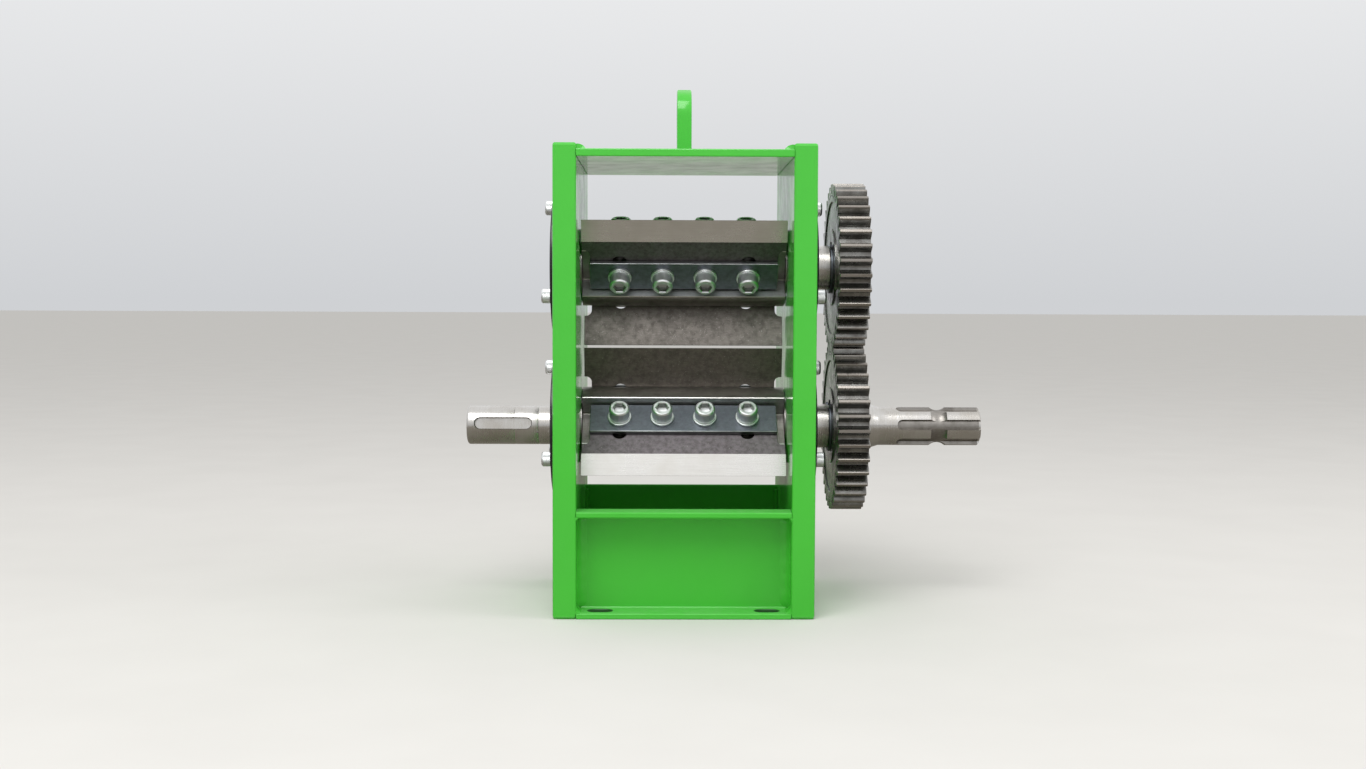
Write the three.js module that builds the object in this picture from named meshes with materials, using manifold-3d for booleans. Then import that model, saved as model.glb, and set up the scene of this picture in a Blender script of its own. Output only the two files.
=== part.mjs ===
// Cutting unit of a twin-rotor wood chipper, in millimetres with +Z up.
// Two welded side plates carry two geared rotors, one above the other, with three clamped knives each.
// X runs along the shafts towards the power take-off stub, and Y runs from the front to the back.
// The origin lies on the underside of the front channel, midway between its two fixing slots.

import * as THREE from 'three';
import { mergeVertices } from 'three/addons/utils/BufferGeometryUtils.js';
import Module from 'manifold-3d';

const wasm = await Module();
wasm.setup();

// Fits and cutting
const seat_gap = 0.3; // between pieces that touch when assembled
const running_gap = 0.5; // between a turning piece and the hole it passes through
const overrun = 2; // how far a cutting body passes the face that it opens

// Side plates
const head_room = 102.5; // from the upper axis to the top of the side plates
const plate_depth = 200;
const plate_thickness = 20;

// Top plate and lifting eye
const top_thickness = 6.5;
const top_drop = 5; // from the top of the side plates down to the top plate
const eye_thickness = 13;
const eye_width = 50;
const eye_straight = 37; // height of the eye's straight edges, below its round top
const eye_hole = 26;

// Front channel, rear angle and their fixing slots
const channel_height = 92;
const channel_depth = 30;
const channel_wall = 5;
const channel_bend = 7; // outside radius of its folds
const angle_height = 95;
const angle_depth = 28;
const angle_wall = 6;
const slot_length = 21;
const slot_width = 13;
const slot_side_inset = 20; // from a side plate to the middle of a slot
const slot_inset = 14; // from the outer edge of a foot to the centre line of its slots

// Welds
const channel_weld = 10; // leg of the upright welds in the channel
const foot_weld = 7; // leg of the welds at the ends of the channel's lower flange
const angle_weld = 4;
const roof_weld = 9; // width of the welds along the top plate
const eye_weld = 5;
const weld_root = 1; // how deep a weld reaches into its own plate

// Gears
const gear_module = 4;
const gear_teeth = 36;
const gear_width = 28;
const gear_clear = 22; // from the outer face of the plate to the gear
const pressure_angle = 20; // degrees
const gear_dedendum = 5; // from the pitch circle down to the root
const backlash = 0.5;
const boss_radius = 34;
const web_radius = 60;
const web_recess = 1.2;
const gear_phase = 4; // degrees from the front to the first tooth of the upper gear

// Shafts
const lower_axis = 158.5; // height of the lower shaft
const seat_diameter = 40; // bearing and gear seats
const shoulder_diameter = 48; // between the rotor body and the bearing
const stub_diameter = 35; // keyed stub on the left
const left_reach = 83.5; // from the left plate to the end of the keyed stub
const right_reach = 158; // from the right plate to the end of the splined stub
const upper_end_reach = 4.5; // shaft past the outer face of the upper gear
const end_clear = 0.8; // from the left covers to the ends of the bearing seats on the shafts
const seat_past_gear = 8; // gear seat past the outer face of the lower gear
const seat_taper = 8; // cone from the gear seat down to the splined stub
const end_chamfer = 1.5;
const stub_key_length = 51;
const stub_key_width = 10;
const stub_key_depth = 5;
const stub_key_inset = 7.5; // from the end of the stub to its keyway
const stub_key_turn = 170; // degrees, where the keyway faces at rest

// Splined stub, the common six-spline power take-off size
const spline_diameter = 34.9;
const spline_root_diameter = 29.6;
const spline_count = 6;
const spline_tooth = 8.6;
const spline_length = 76;
const spline_groove_from_end = 38;
const spline_groove_radius = 11;
const spline_groove_depth = 2.8;
const spline_turn = 172; // degrees, where one of the spline's grooves faces at rest

// Bearings and covers
const bearing_outer = 80;
const bearing_width = 18;
const bearing_outer_wall = 6;
const bearing_inner_wall = 6;
const bearing_lip_diameter = 66; // opening inside the bearing seat
const cover_diameter = 128;
const cover_thickness = 5;
const cover_screw_circle = 106;
const cover_screw_count = 3;
const cover_screw_diameter = 8;
const cover_screw_head = 13;
const cover_screw_head_height = 8;
const cover_screw_depth = 12; // thread length in the plate
const first_cover_screw = 90; // degrees

// Rotor bodies
const body_diameter = 70;
const body_side_gap = 1; // from the ends of a rotor body to the side plates
const knife_count = 3;
const flat_height = 13; // from the axis to the flat that a knife lies on
const pocket_back = 2.7; // from the axis plane back to the pocket's shoulder
const knife_rest_turn = 135; // degrees, where the front knife of the upper rotor points at rest

// Knives and their clamps
const knife_clearance = 2; // between the circles that the cutting edges of the two rotors follow
const knife_thickness = 10;
const knife_width = 180;
const knife_side_gap = 1; // from the ends of a knife to the ends of its rotor body
const knife_heel_step = 6.5; // how far the narrow heel of a knife stands back from its ends
const knife_shoulder = 27.5; // from the cutting edge back to the narrow heel
const knife_shoulder_fillet = 5;
const knife_bevel = 17;
const knife_edge_land = 0.4; // thickness left at the cutting edge
const knife_slot_width = 13;
const knife_slot_start = 7;
const knife_long_slot_end = 35.3;
const knife_short_slot_end = 26.5;
const clamp_thickness = 4;
const clamp_width = 31;
const clamp_start = -0.6;
const bolt_pitch = 38;
const bolt_count = 4;
const bolt_line = 15; // from the axis plane to the line of bolts
const bolt_diameter = 12;
const bolt_head = 18;
const bolt_head_height = 12;
const bolt_socket = 10; // across flats
const bolt_socket_depth = 6;
const bolt_grip = 10; // thread length in the rotor body
const washer_diameter = 21;
const washer_thickness = 2.5;

// Keys and retaining rings of the gears
const key_width = 12;
const key_height = 8;
const key_depth = 5; // how deep the key sits in the shaft
const key_end_gap = 3; // from the ends of the gear to the ends of its key
const ring_thickness = 1.75;
const ring_width = 4;
const ring_groove_depth = 1.25;
const ring_opening = 60; // degrees left open in a retaining ring

// Facets on round pieces, where what fits in a bore has as many as the bore
const shaft_facets = 24;
const cover_facets = 28;
const bolt_facets = 8;
const ring_facets = 16; // on each arc of a retaining ring
const fold_facets = 4; // in a quarter turn of a fold or a slot's end
const weld_facets = 4;

// Sizes that follow from the ones above
const body_length = knife_width + 2 * knife_side_gap;
const inner_width = body_length + 2 * body_side_gap; // between the two side plates
const knife_heel_width = knife_width - 2 * knife_heel_step;
const clamp_length = knife_heel_width;
const slot_pitch = inner_width - 2 * slot_side_inset;
const plate_inner = inner_width / 2;
const plate_outer = plate_inner + plate_thickness;
const front_edge = -plate_depth / 2;
const rear_edge = plate_depth / 2;
const pitch_radius = gear_module * gear_teeth / 2;
const upper_axis = lower_axis + 2 * pitch_radius;
const plate_height = upper_axis + head_room;
const gear_inner = plate_outer + gear_clear;
const gear_outer = gear_inner + gear_width;
const top_plate_top = plate_height - top_drop;
const top_plate_bottom = top_plate_top - top_thickness;
const knife_base = flat_height + seat_gap;
const knife_reach = Math.sqrt( // from the axis plane to the cutting edge
  (pitch_radius - knife_clearance / 2) ** 2 - (knife_base + knife_edge_land) ** 2);
const degrees = Math.PI / 180;

// Materials
function metal(color, roughness, metalness = 1) {
  return new THREE.MeshStandardMaterial({ color, roughness, metalness });
}
const green_paint = metal(0x45bf3c, 0.35, 0);
const black_paint = metal(0x151617, 0.45, 0);
const turned_steel = metal(0xb9b6b2, 0.28);
const knife_steel = metal(0x5d5a57, 0.42);
const blued_steel = metal(0x34373d, 0.4);
const zinc = metal(0xc9cccf, 0.3);
const gear_steel = metal(0x3d3c3b, 0.38);
const bearing_steel = metal(0xa9adb2, 0.2);

// Solids
function solid(geometry) {
  const plain = geometry.clone();
  plain.deleteAttribute('normal');
  plain.deleteAttribute('uv');
  const merged = mergeVertices(plain);
  const corners = [];
  for (let i = 0; i < merged.index.count; i += 3) {
    const [a, b, c] = [0, 1, 2].map((k) => merged.index.getX(i + k));
    if (a !== b && b !== c && c !== a) corners.push(a, b, c);
  }
  return new wasm.Manifold(new wasm.Mesh({
    numProp: 3,
    vertProperties: new Float32Array(merged.attributes.position.array),
    triVerts: new Uint32Array(corners),
  }));
}

function geometry_of(manifold) {
  const { vertProperties, triVerts } = manifold.getMesh();
  const geometry = new THREE.BufferGeometry();
  geometry.setAttribute('position', new THREE.BufferAttribute(vertProperties, 3));
  geometry.setIndex(new THREE.BufferAttribute(triVerts, 1));
  return geometry;
}

function cut(body, ...cutters) {
  return cutters.flat().reduce((rest, cutter) => rest.subtract(solid(cutter)), body);
}

function join(body, ...additions) {
  return additions.flat().reduce((whole, addition) => whole.add(solid(addition)), body);
}

function mesh(name, shape, material) {
  const geometry = shape.isBufferGeometry ? shape : geometry_of(shape);
  const piece = new THREE.Mesh(geometry, material);
  piece.name = name;
  return piece;
}

// An outline drawn in X and Y, raised from one height to another, with a number of facets on each of its arcs
function raised(outline, from, to, facets = 2 * fold_facets) {
  const settings = { depth: to - from, bevelEnabled: false, curveSegments: facets / 2 };
  return new THREE.ExtrudeGeometry(outline, settings).translate(0, 0, from);
}

// A profile drawn in Y and Z, extruded along X from one station to another
const profile_to_shaft = new THREE.Matrix4().makeBasis(
  new THREE.Vector3(0, 1, 0), new THREE.Vector3(0, 0, 1), new THREE.Vector3(1, 0, 0));

function along_shaft(profile, from, to, facets) {
  return raised(profile, 0, to - from, facets).applyMatrix4(profile_to_shaft).translate(from, 0, 0);
}

function polygon(points) {
  return new THREE.Shape(points.map(([x, y]) => new THREE.Vector2(x, y)));
}

function box_between([x0, y0, z0], [x1, y1, z1]) {
  return along_shaft(polygon([[y0, z0], [y1, z0], [y1, z1], [y0, z1]]), x0, x1);
}

// A body of revolution about the X axis, from pairs of station and radius
function turned(profile, facets = shaft_facets) {
  const points = profile.map(([station, radius]) => new THREE.Vector2(radius, station));
  return new THREE.LatheGeometry(points, facets).rotateZ(-Math.PI / 2);
}

function rod(from, to, diameter, facets) {
  return turned([[from, 0], [from, diameter / 2], [to, diameter / 2], [to, 0]], facets);
}

function ring(from, to, inner, outer, facets) {
  const [bore, rim] = [inner / 2, outer / 2];
  return turned([[from, bore], [from, rim], [to, rim], [to, bore], [from, bore]], facets);
}

// A slot with round ends, drawn from one end centre to the other
function slot_outline(Kind, x0, y0, x1, y1, width) {
  const lean = Math.atan2(y1 - y0, x1 - x0);
  const outline = new Kind();
  outline.absarc(x1, y1, width / 2, lean - Math.PI / 2, lean + Math.PI / 2);
  outline.absarc(x0, y0, width / 2, lean + Math.PI / 2, lean + 3 * Math.PI / 2);
  outline.closePath();
  return outline;
}

function polar(radius, turn) {
  return [radius * Math.cos(turn * degrees), radius * Math.sin(turn * degrees)];
}

function evenly(count, first = 0) {
  return Array.from({ length: count }, (_, i) => first + i * 360 / count);
}

function centred(count, pitch) {
  return Array.from({ length: count }, (_, i) => (i - (count - 1) / 2) * pitch);
}

// A weld is a hollow-faced fillet, one solid with the plate that it runs along
const weld_hollow_share = 1 / 4;
const [right, left] = [[1, 0, 0], [-1, 0, 0]];
const forward = [0, -1, 0];
const up = [0, 0, 1];

function fillet(middle, away, height, across, width, length) {
  const outline = new THREE.Shape();
  outline.moveTo(-weld_root, 0);
  outline.lineTo(height, 0);
  outline.quadraticCurveTo(weld_hollow_share * height, weld_hollow_share * width, 0, width);
  outline.lineTo(-weld_root, width);
  outline.closePath();
  const [x, y] = [new THREE.Vector3(...away), new THREE.Vector3(...across)];
  const along = new THREE.Vector3().crossVectors(x, y);
  const place = new THREE.Matrix4().makeBasis(x, y, along).setPosition(...middle);
  return raised(outline, -length / 2, length / 2, 2 * weld_facets).applyMatrix4(place);
}

function welds_between_plates(y, z, away, height, width, length) {
  return [[-plate_inner, right], [plate_inner, left]].map(([x, across]) => (
    fillet([x, y, z], away, height, across, width, length)));
}

// Side plates, each with two stepped bearing seats and blind threads for the cover screws
function side_plate(name) {
  const blank = box_between([plate_inner, front_edge, 0], [plate_outer, rear_edge, plate_height]);
  const cutters = [];
  for (const height of [lower_axis, upper_axis]) {
    const seat_floor = plate_outer - bearing_width - 2 * seat_gap;
    const seat = rod(seat_floor, plate_outer + overrun, bearing_outer, shaft_facets);
    const opening = rod(plate_inner - overrun, seat_floor + overrun, bearing_lip_diameter, shaft_facets);
    cutters.push(seat.translate(0, 0, height), opening.translate(0, 0, height));
    for (const turn of evenly(cover_screw_count, first_cover_screw)) {
      const [y, z] = polar(cover_screw_circle / 2, turn);
      const hole_end = plate_outer - cover_screw_depth - seat_gap;
      const thread = rod(hole_end, plate_outer + overrun, cover_screw_diameter + 2 * seat_gap, bolt_facets);
      cutters.push(thread.translate(0, y, height + z));
    }
  }
  return mesh(name, cut(solid(blank), cutters), green_paint);
}

// Top plate and its lifting eye
function top_plate() {
  const low_corner = [-plate_inner, front_edge, top_plate_bottom];
  const plate = box_between(low_corner, [plate_inner, rear_edge, top_plate_top]);
  const welds = welds_between_plates(0, top_plate_top, up, top_drop, roof_weld, plate_depth);
  return mesh('top_plate', join(solid(plate), welds), green_paint);
}

function lifting_eye() {
  const profile = new THREE.Shape();
  const centre = top_plate_top + eye_straight;
  profile.moveTo(-eye_width / 2, top_plate_top);
  profile.lineTo(eye_width / 2, top_plate_top);
  profile.absarc(0, centre, eye_width / 2, 0, Math.PI);
  profile.closePath();
  const hole = new THREE.Path();
  hole.absarc(0, centre, eye_hole / 2, 0, 2 * Math.PI);
  profile.holes.push(hole);
  const half = eye_thickness / 2;
  return mesh('lifting_eye', join(solid(along_shaft(profile, -half, half, shaft_facets)),
    fillet([half, 0, top_plate_top], right, eye_weld, up, eye_weld, eye_width),
    fillet([-half, 0, top_plate_top], left, eye_weld, up, eye_weld, eye_width)), green_paint);
}

// Front channel, folded from plate and open to the front, with the fixing slots that the rear angle has too
function foot_slots(centre_line) {
  return centred(2, slot_pitch).map((x) => {
    const reach = (slot_length - slot_width) / 2;
    const outline = slot_outline(THREE.Shape, x - reach, centre_line, x + reach, centre_line, slot_width);
    return raised(outline, -overrun, Math.max(angle_wall, channel_wall) + overrun);
  });
}

function front_channel() {
  const back = front_edge + channel_depth;
  const inner_bend = channel_bend - channel_wall;
  const bend_y = back - channel_bend;
  const [low_bend, high_bend] = [channel_bend, channel_height - channel_bend];
  const profile = new THREE.Shape();
  profile.moveTo(front_edge, channel_wall);
  profile.lineTo(front_edge, 0);
  profile.absarc(bend_y, low_bend, channel_bend, -Math.PI / 2, 0);
  profile.absarc(bend_y, high_bend, channel_bend, 0, Math.PI / 2);
  profile.lineTo(front_edge, channel_height);
  profile.lineTo(front_edge, channel_height - channel_wall);
  profile.absarc(bend_y, high_bend, inner_bend, Math.PI / 2, 0, true);
  profile.absarc(bend_y, low_bend, inner_bend, 0, -Math.PI / 2, true);
  profile.closePath();
  const body = solid(along_shaft(profile, -plate_inner, plate_inner, fold_facets));
  const weld_length = high_bend - low_bend;
  const foot_length = channel_depth - channel_bend;
  const welds = [
    ...welds_between_plates(back - channel_wall, channel_height / 2, forward,
      channel_weld, channel_weld, weld_length),
    ...welds_between_plates(front_edge + foot_length / 2, channel_wall, up,
      foot_weld, foot_weld, foot_length)];
  return mesh('front_channel', join(cut(body, foot_slots(front_edge + slot_inset)), welds), green_paint);
}

// Rear angle, with its foot to the back
function rear_angle() {
  const face = rear_edge - angle_depth;
  const profile = polygon([[face, 0], [rear_edge, 0], [rear_edge, angle_wall],
    [face + angle_wall, angle_wall], [face + angle_wall, angle_height], [face, angle_height]]);
  const body = solid(along_shaft(profile, -plate_inner, plate_inner));
  const welds = welds_between_plates(face, angle_height / 2, forward, angle_weld, angle_weld, angle_height);
  return mesh('rear_angle', join(cut(body, foot_slots(rear_edge - slot_inset)), welds), green_paint);
}

// Bearings, covers and their screws, at the right-hand end of a shaft
const bearing_end = plate_outer - seat_gap;
const bearing_start = bearing_end - bearing_width;

function bearing_outer_ring(name) {
  const outside = bearing_outer - 2 * seat_gap;
  const inside = bearing_outer - 2 * bearing_outer_wall;
  return mesh(name, ring(bearing_start, bearing_end, inside, outside, shaft_facets), bearing_steel);
}

function bearing_inner_ring(name) {
  const bore = seat_diameter + 2 * seat_gap;
  const outside = seat_diameter + 2 * bearing_inner_wall;
  return mesh(name, ring(bearing_start, bearing_end, bore, outside, shaft_facets), bearing_steel);
}

function cover_screw_places() {
  return evenly(cover_screw_count, first_cover_screw).map((turn) => polar(cover_screw_circle / 2, turn));
}

function cover(name, shaft_diameter) {
  const face = plate_outer + cover_thickness;
  const rim = cover_diameter / 2;
  const bore = shaft_diameter > 0 ? shaft_diameter / 2 + running_gap : 0;
  const profile = [[plate_outer, bore], [plate_outer, rim], [face, rim], [face, bore]];
  if (bore > 0) profile.push(profile[0]);
  const holes = cover_screw_places().map(([y, z]) => rod(plate_outer - overrun, face + overrun,
    cover_screw_diameter + 2 * seat_gap, bolt_facets).translate(0, y, z));
  return mesh(name, cut(solid(turned(profile, cover_facets)), holes), black_paint);
}

function cover_screw(name, [y, z]) {
  const tip = plate_outer - cover_screw_depth;
  const neck = plate_outer + cover_thickness + seat_gap;
  const top = neck + cover_screw_head_height;
  const [thread, head] = [cover_screw_diameter / 2, cover_screw_head / 2];
  const profile = [[tip, 0], [tip, thread], [neck, thread], [neck, head], [top, head], [top, 0]];
  const screw = mesh(name, turned(profile, bolt_facets), zinc);
  screw.position.set(0, y, z);
  return screw;
}

// Shafts with the rotor body, drawn with the shaft's axis along X
function seat_rotation(hand, turn) {
  const lean = turn * degrees;
  return hand > 0 ? new THREE.Euler(lean, 0, 0) : new THREE.Euler(lean - Math.PI, 0, Math.PI);
}

// Moves a piece from a knife's seat, where Y points to the cutting edge and Z away from the shaft
function onto_seat(geometry, hand, turn) {
  return geometry.applyMatrix4(new THREE.Matrix4().makeRotationFromEuler(seat_rotation(hand, turn)));
}

function seat_turns(hand) {
  return evenly(knife_count, hand * knife_rest_turn);
}

// Stands a body of revolution up on a knife's seat
function standing(geometry) {
  return geometry.rotateY(-Math.PI / 2);
}

function bolt_places() {
  return centred(bolt_count, bolt_pitch);
}

function pocket_cutters(hand) {
  const half = body_length / 2;
  const reach = body_diameter / 2 + overrun;
  const hole_floor = flat_height - bolt_grip - seat_gap;
  const hole = rod(hole_floor, flat_height + overrun, bolt_diameter + 2 * seat_gap, bolt_facets);
  return seat_turns(hand).flatMap((turn) => [
    box_between([-half, -pocket_back, flat_height], [half, reach, reach]),
    ...bolt_places().map((x) => standing(hole.clone()).translate(x, bolt_line, 0)),
  ].map((cutter) => onto_seat(cutter, hand, turn)));
}

function gear_key_cutter() {
  const from = gear_inner + key_end_gap - seat_gap;
  const to = gear_outer - key_end_gap + seat_gap;
  const half = key_width / 2 + seat_gap;
  const surface = seat_diameter / 2;
  return box_between([from, -half, surface - key_depth - seat_gap], [to, half, surface + overrun]);
}

const ring_stations = [gear_inner - seat_gap - ring_thickness, gear_outer + seat_gap];

function ring_groove(start) {
  const top = seat_diameter / 2;
  const bottom = top - ring_groove_depth;
  const [from, to] = [start - seat_gap, start + ring_thickness + seat_gap];
  return [[from, top], [from, bottom], [to, bottom], [to, top]];
}

function rotor_body_profile() {
  const end = body_length / 2;
  const [body, shoulder, seat] = [body_diameter / 2, shoulder_diameter / 2, seat_diameter / 2];
  const shoulder_end = bearing_start - seat_gap;
  return [[-shoulder_end, seat], [-shoulder_end, shoulder], [-end, shoulder], [-end, body],
    [end, body], [end, shoulder], [shoulder_end, shoulder], [shoulder_end, seat]];
}

function stub_keyway() {
  const start = -plate_outer - left_reach + stub_key_inset;
  const floor = stub_diameter / 2 - stub_key_depth;
  const cap = stub_key_width / 2;
  const outline = slot_outline(THREE.Shape, start + cap, 0, start + stub_key_length - cap, 0, stub_key_width);
  return raised(outline, floor, stub_diameter / 2 + overrun).rotateX((stub_key_turn - 90) * degrees);
}

// A spline's groove narrows towards its root, because the teeth beside it have parallel flanks
function spline_cutters(end) {
  const half_turn = Math.PI / spline_count;
  const half_width = (radius) => radius * Math.tan(half_turn) - spline_tooth / 2 / Math.cos(half_turn);
  const [root, top] = [spline_root_diameter / 2, spline_diameter / 2 + overrun];
  const [narrow, wide] = [half_width(root), half_width(top)];
  const section = polygon([[-narrow, root], [narrow, root], [wide, top], [-wide, top]]);
  const cutter = along_shaft(section, end - spline_length, end + overrun);
  return evenly(spline_count, spline_turn).map((turn) => cutter.clone().rotateX((turn - 90) * degrees));
}

// The locking groove round the splined stub is part of a circle in section
const groove_shares = [-1, -1 / 3, 1 / 3, 1];

function locking_groove(end) {
  const centre = end - spline_groove_from_end;
  const outside = spline_diameter / 2;
  const height = spline_groove_radius - spline_groove_depth;
  const half_turn = Math.acos(height / spline_groove_radius);
  return groove_shares.map((share) => [
    centre + spline_groove_radius * Math.sin(share * half_turn),
    outside + height - spline_groove_radius * Math.cos(share * half_turn)]);
}

function lower_shaft() {
  const [seat, stub, spline] = [seat_diameter / 2, stub_diameter / 2, spline_diameter / 2];
  const start = -plate_outer - left_reach;
  const seat_start = -plate_outer + end_clear;
  const end = plate_outer + right_reach;
  const taper = gear_outer + seat_past_gear;
  const profile = [[start, 0], [start, stub - end_chamfer], [start + end_chamfer, stub], [seat_start, stub],
    [seat_start, seat], ...rotor_body_profile(), ...ring_stations.flatMap(ring_groove),
    [taper, seat], [taper + seat_taper, spline], ...locking_groove(end),
    [end - end_chamfer, spline], [end, spline - end_chamfer], [end, 0]];
  return mesh('lower_shaft', cut(solid(turned(profile)), pocket_cutters(-1), gear_key_cutter(), stub_keyway(),
    spline_cutters(end)), turned_steel);
}

function upper_shaft() {
  const seat = seat_diameter / 2;
  const start = -plate_outer + end_clear;
  const end = gear_outer + upper_end_reach;
  const profile = [[start, 0], [start, seat - end_chamfer], [start + end_chamfer, seat],
    ...rotor_body_profile(), ...ring_stations.flatMap(ring_groove),
    [end - end_chamfer, seat], [end, seat - end_chamfer], [end, 0]];
  return mesh('upper_shaft', cut(solid(turned(profile)), pocket_cutters(1), gear_key_cutter()), turned_steel);
}

// Knives and clamps, drawn on a knife's seat
const clamp_base = knife_base + knife_thickness + seat_gap;
const clamp_top = clamp_base + clamp_thickness;

function knife_outline() {
  const [tip, heel] = [knife_width / 2, knife_heel_width / 2];
  const shoulder = knife_reach - knife_shoulder;
  const round = knife_shoulder_fillet;
  const outline = new THREE.Shape();
  outline.moveTo(-heel, 0);
  outline.lineTo(heel, 0);
  outline.absarc(heel + round, shoulder - round, round, Math.PI, Math.PI / 2, true);
  outline.lineTo(tip, shoulder);
  outline.lineTo(tip, knife_reach);
  outline.lineTo(-tip, knife_reach);
  outline.lineTo(-tip, shoulder);
  outline.absarc(-heel - round, shoulder - round, round, Math.PI / 2, 0, true);
  outline.closePath();
  const cap = knife_slot_width / 2;
  bolt_places().forEach((x, i) => {
    const outermost = i === 0 || i === bolt_count - 1;
    const end = outermost ? knife_long_slot_end : knife_short_slot_end;
    outline.holes.push(slot_outline(THREE.Path, x, knife_slot_start + cap, x, end - cap, knife_slot_width));
  });
  return outline;
}

function knife_bevel_cutter() {
  const top = knife_base + knife_thickness;
  const fall = (knife_thickness - knife_edge_land) / knife_bevel;
  const [start, end] = [knife_reach - knife_bevel, knife_reach + overrun];
  const above = top + overrun;
  const section = polygon([[start, top], [end, top - fall * (end - start)], [end, above], [start, above]]);
  return along_shaft(section, -knife_width / 2 - overrun, knife_width / 2 + overrun);
}

function knife(name) {
  const blank = raised(knife_outline(), knife_base, knife_base + knife_thickness, fold_facets);
  return mesh(name, cut(solid(blank), knife_bevel_cutter()), knife_steel);
}

function hexagon(across_flats) {
  return polygon(evenly(6).map((turn) => polar(across_flats / Math.sqrt(3), turn)));
}

// A socket-head bolt with the washer under its head
function knife_bolt() {
  const washer_top = clamp_top + washer_thickness;
  const top = washer_top + bolt_head_height;
  const [thread, washer, head] = [bolt_diameter / 2, washer_diameter / 2, bolt_head / 2];
  const profile = [[flat_height - bolt_grip, 0], [flat_height - bolt_grip, thread],
    [clamp_top - washer_thickness, thread], [clamp_top - washer_thickness, washer], [washer_top, washer],
    [washer_top, head], [top, head], [top, 0]];
  const socket = raised(hexagon(bolt_socket), top - bolt_socket_depth, top + overrun);
  return cut(solid(standing(turned(profile, bolt_facets))), socket);
}

// A clamp is one solid of its bar, its bolts and their washers
function clamp(name) {
  const half = clamp_length / 2;
  const bar = box_between([-half, clamp_start, clamp_base], [half, clamp_start + clamp_width, clamp_top]);
  const bolt = knife_bolt();
  const bolted = bolt_places().reduce((whole, x) => whole.add(bolt.translate([x, bolt_line, 0])), solid(bar));
  return mesh(name, bolted, blued_steel);
}

// Gears with involute teeth, whose flanks have a corner at each share of the tooth's height
const flank_shares = [0, 1 / 2, 1];

function gear_outline(first_tooth) {
  const base_radius = pitch_radius * Math.cos(pressure_angle * degrees);
  const root = pitch_radius - gear_dedendum;
  const tip = pitch_radius + gear_module;
  const involute = (radius) => {
    const lean = Math.acos(Math.min(1, base_radius / radius));
    return Math.tan(lean) - lean;
  };
  const half_tooth = (Math.PI * gear_module / 2 - backlash) / 2 / pitch_radius;
  const flank = flank_shares.map((share) => {
    const radius = root + share * (tip - root);
    return [radius, half_tooth + involute(pitch_radius) - involute(Math.max(radius, base_radius))];
  });
  const points = evenly(gear_teeth, first_tooth).flatMap((centre) => [
    ...flank.map(([radius, half]) => polar(radius, centre - half / degrees)),
    ...[...flank].reverse().map(([radius, half]) => polar(radius, centre + half / degrees)),
  ]);
  return polygon(points);
}

function gear(name, first_tooth) {
  const outline = gear_outline(first_tooth);
  const bore = new THREE.Path();
  bore.absarc(0, 0, seat_diameter / 2 + seat_gap, 0, 2 * Math.PI);
  outline.holes.push(bore);
  const blank = solid(along_shaft(outline, gear_inner, gear_outer, shaft_facets));
  const [boss, web] = [2 * boss_radius, 2 * web_radius];
  const half = key_width / 2 + seat_gap;
  const keyway = box_between([gear_inner - overrun, -half, 0],
    [gear_outer + overrun, half, seat_diameter / 2 - key_depth + key_height + seat_gap]);
  return mesh(name, cut(blank, ring(gear_inner - overrun, gear_inner + web_recess, boss, web, shaft_facets),
    ring(gear_outer - web_recess, gear_outer + overrun, boss, web, shaft_facets), keyway), gear_steel);
}

function gear_key(name) {
  const floor = seat_diameter / 2 - key_depth;
  const half = key_width / 2;
  return mesh(name, box_between([gear_inner + key_end_gap, -half, floor],
    [gear_outer - key_end_gap, half, floor + key_height]), turned_steel);
}

function retaining_ring(name, start) {
  const inside = seat_diameter / 2 - ring_groove_depth + seat_gap;
  const outside = inside + ring_width;
  const [first, last] = [90 + ring_opening / 2, 450 - ring_opening / 2].map((turn) => turn * degrees);
  const outline = new THREE.Shape();
  outline.absarc(0, 0, outside, first, last);
  outline.absarc(0, 0, inside, last, first, true);
  outline.closePath();
  return mesh(name, along_shaft(outline, start, start + ring_thickness, ring_facets), blued_steel);
}

// One end of the frame, turned about for the left-hand side
function frame_end(side, turn, lower_bore, upper_bore) {
  const fittings = [['lower', lower_axis, lower_bore], ['upper', upper_axis, upper_bore]];
  const end = new THREE.Group();
  end.rotation.z = turn;
  end.add(side_plate(`side_plate_${side}`));
  for (const [level, height, bore] of fittings) {
    const fitting = new THREE.Group();
    fitting.position.z = height;
    fitting.add(
      bearing_outer_ring(`${level}_bearing_outer_ring_${side}`),
      cover(`${level}_bearing_cover_${side}`, bore));
    cover_screw_places().forEach((place, i) => {
      fitting.add(cover_screw(`${level}_cover_screw_${side}_${i + 1}`, place));
    });
    end.add(fitting);
  }
  return end;
}

// One rotor with everything that turns with it
function rotor(level, hand, height, shaft, first_tooth) {
  const group = new THREE.Group();
  group.position.z = height;
  group.add(shaft);
  seat_turns(hand).forEach((turn, i) => {
    const seat = new THREE.Group();
    seat.rotation.copy(seat_rotation(hand, turn));
    seat.add(knife(`${level}_knife_${i + 1}`), clamp(`${level}_knife_clamp_${i + 1}`));
    group.add(seat);
  });
  group.add(
    gear(`${level}_gear`, first_tooth),
    gear_key(`${level}_gear_key`),
    ...ring_stations.map((start, i) => retaining_ring(`${level}_retaining_ring_${i + 1}`, start)));
  for (const [side, turn] of [['right', 0], ['left', Math.PI]]) {
    const inner_ring = bearing_inner_ring(`${level}_bearing_inner_ring_${side}`);
    inner_ring.rotation.z = turn;
    group.add(inner_ring);
  }
  return group;
}

// The teeth of the lower gear stand in the gaps of the upper one, as in a mirror between them
const upper_first_tooth = 180 - gear_phase;
const lower_first_tooth = -(upper_first_tooth + 180 / gear_teeth);

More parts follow.
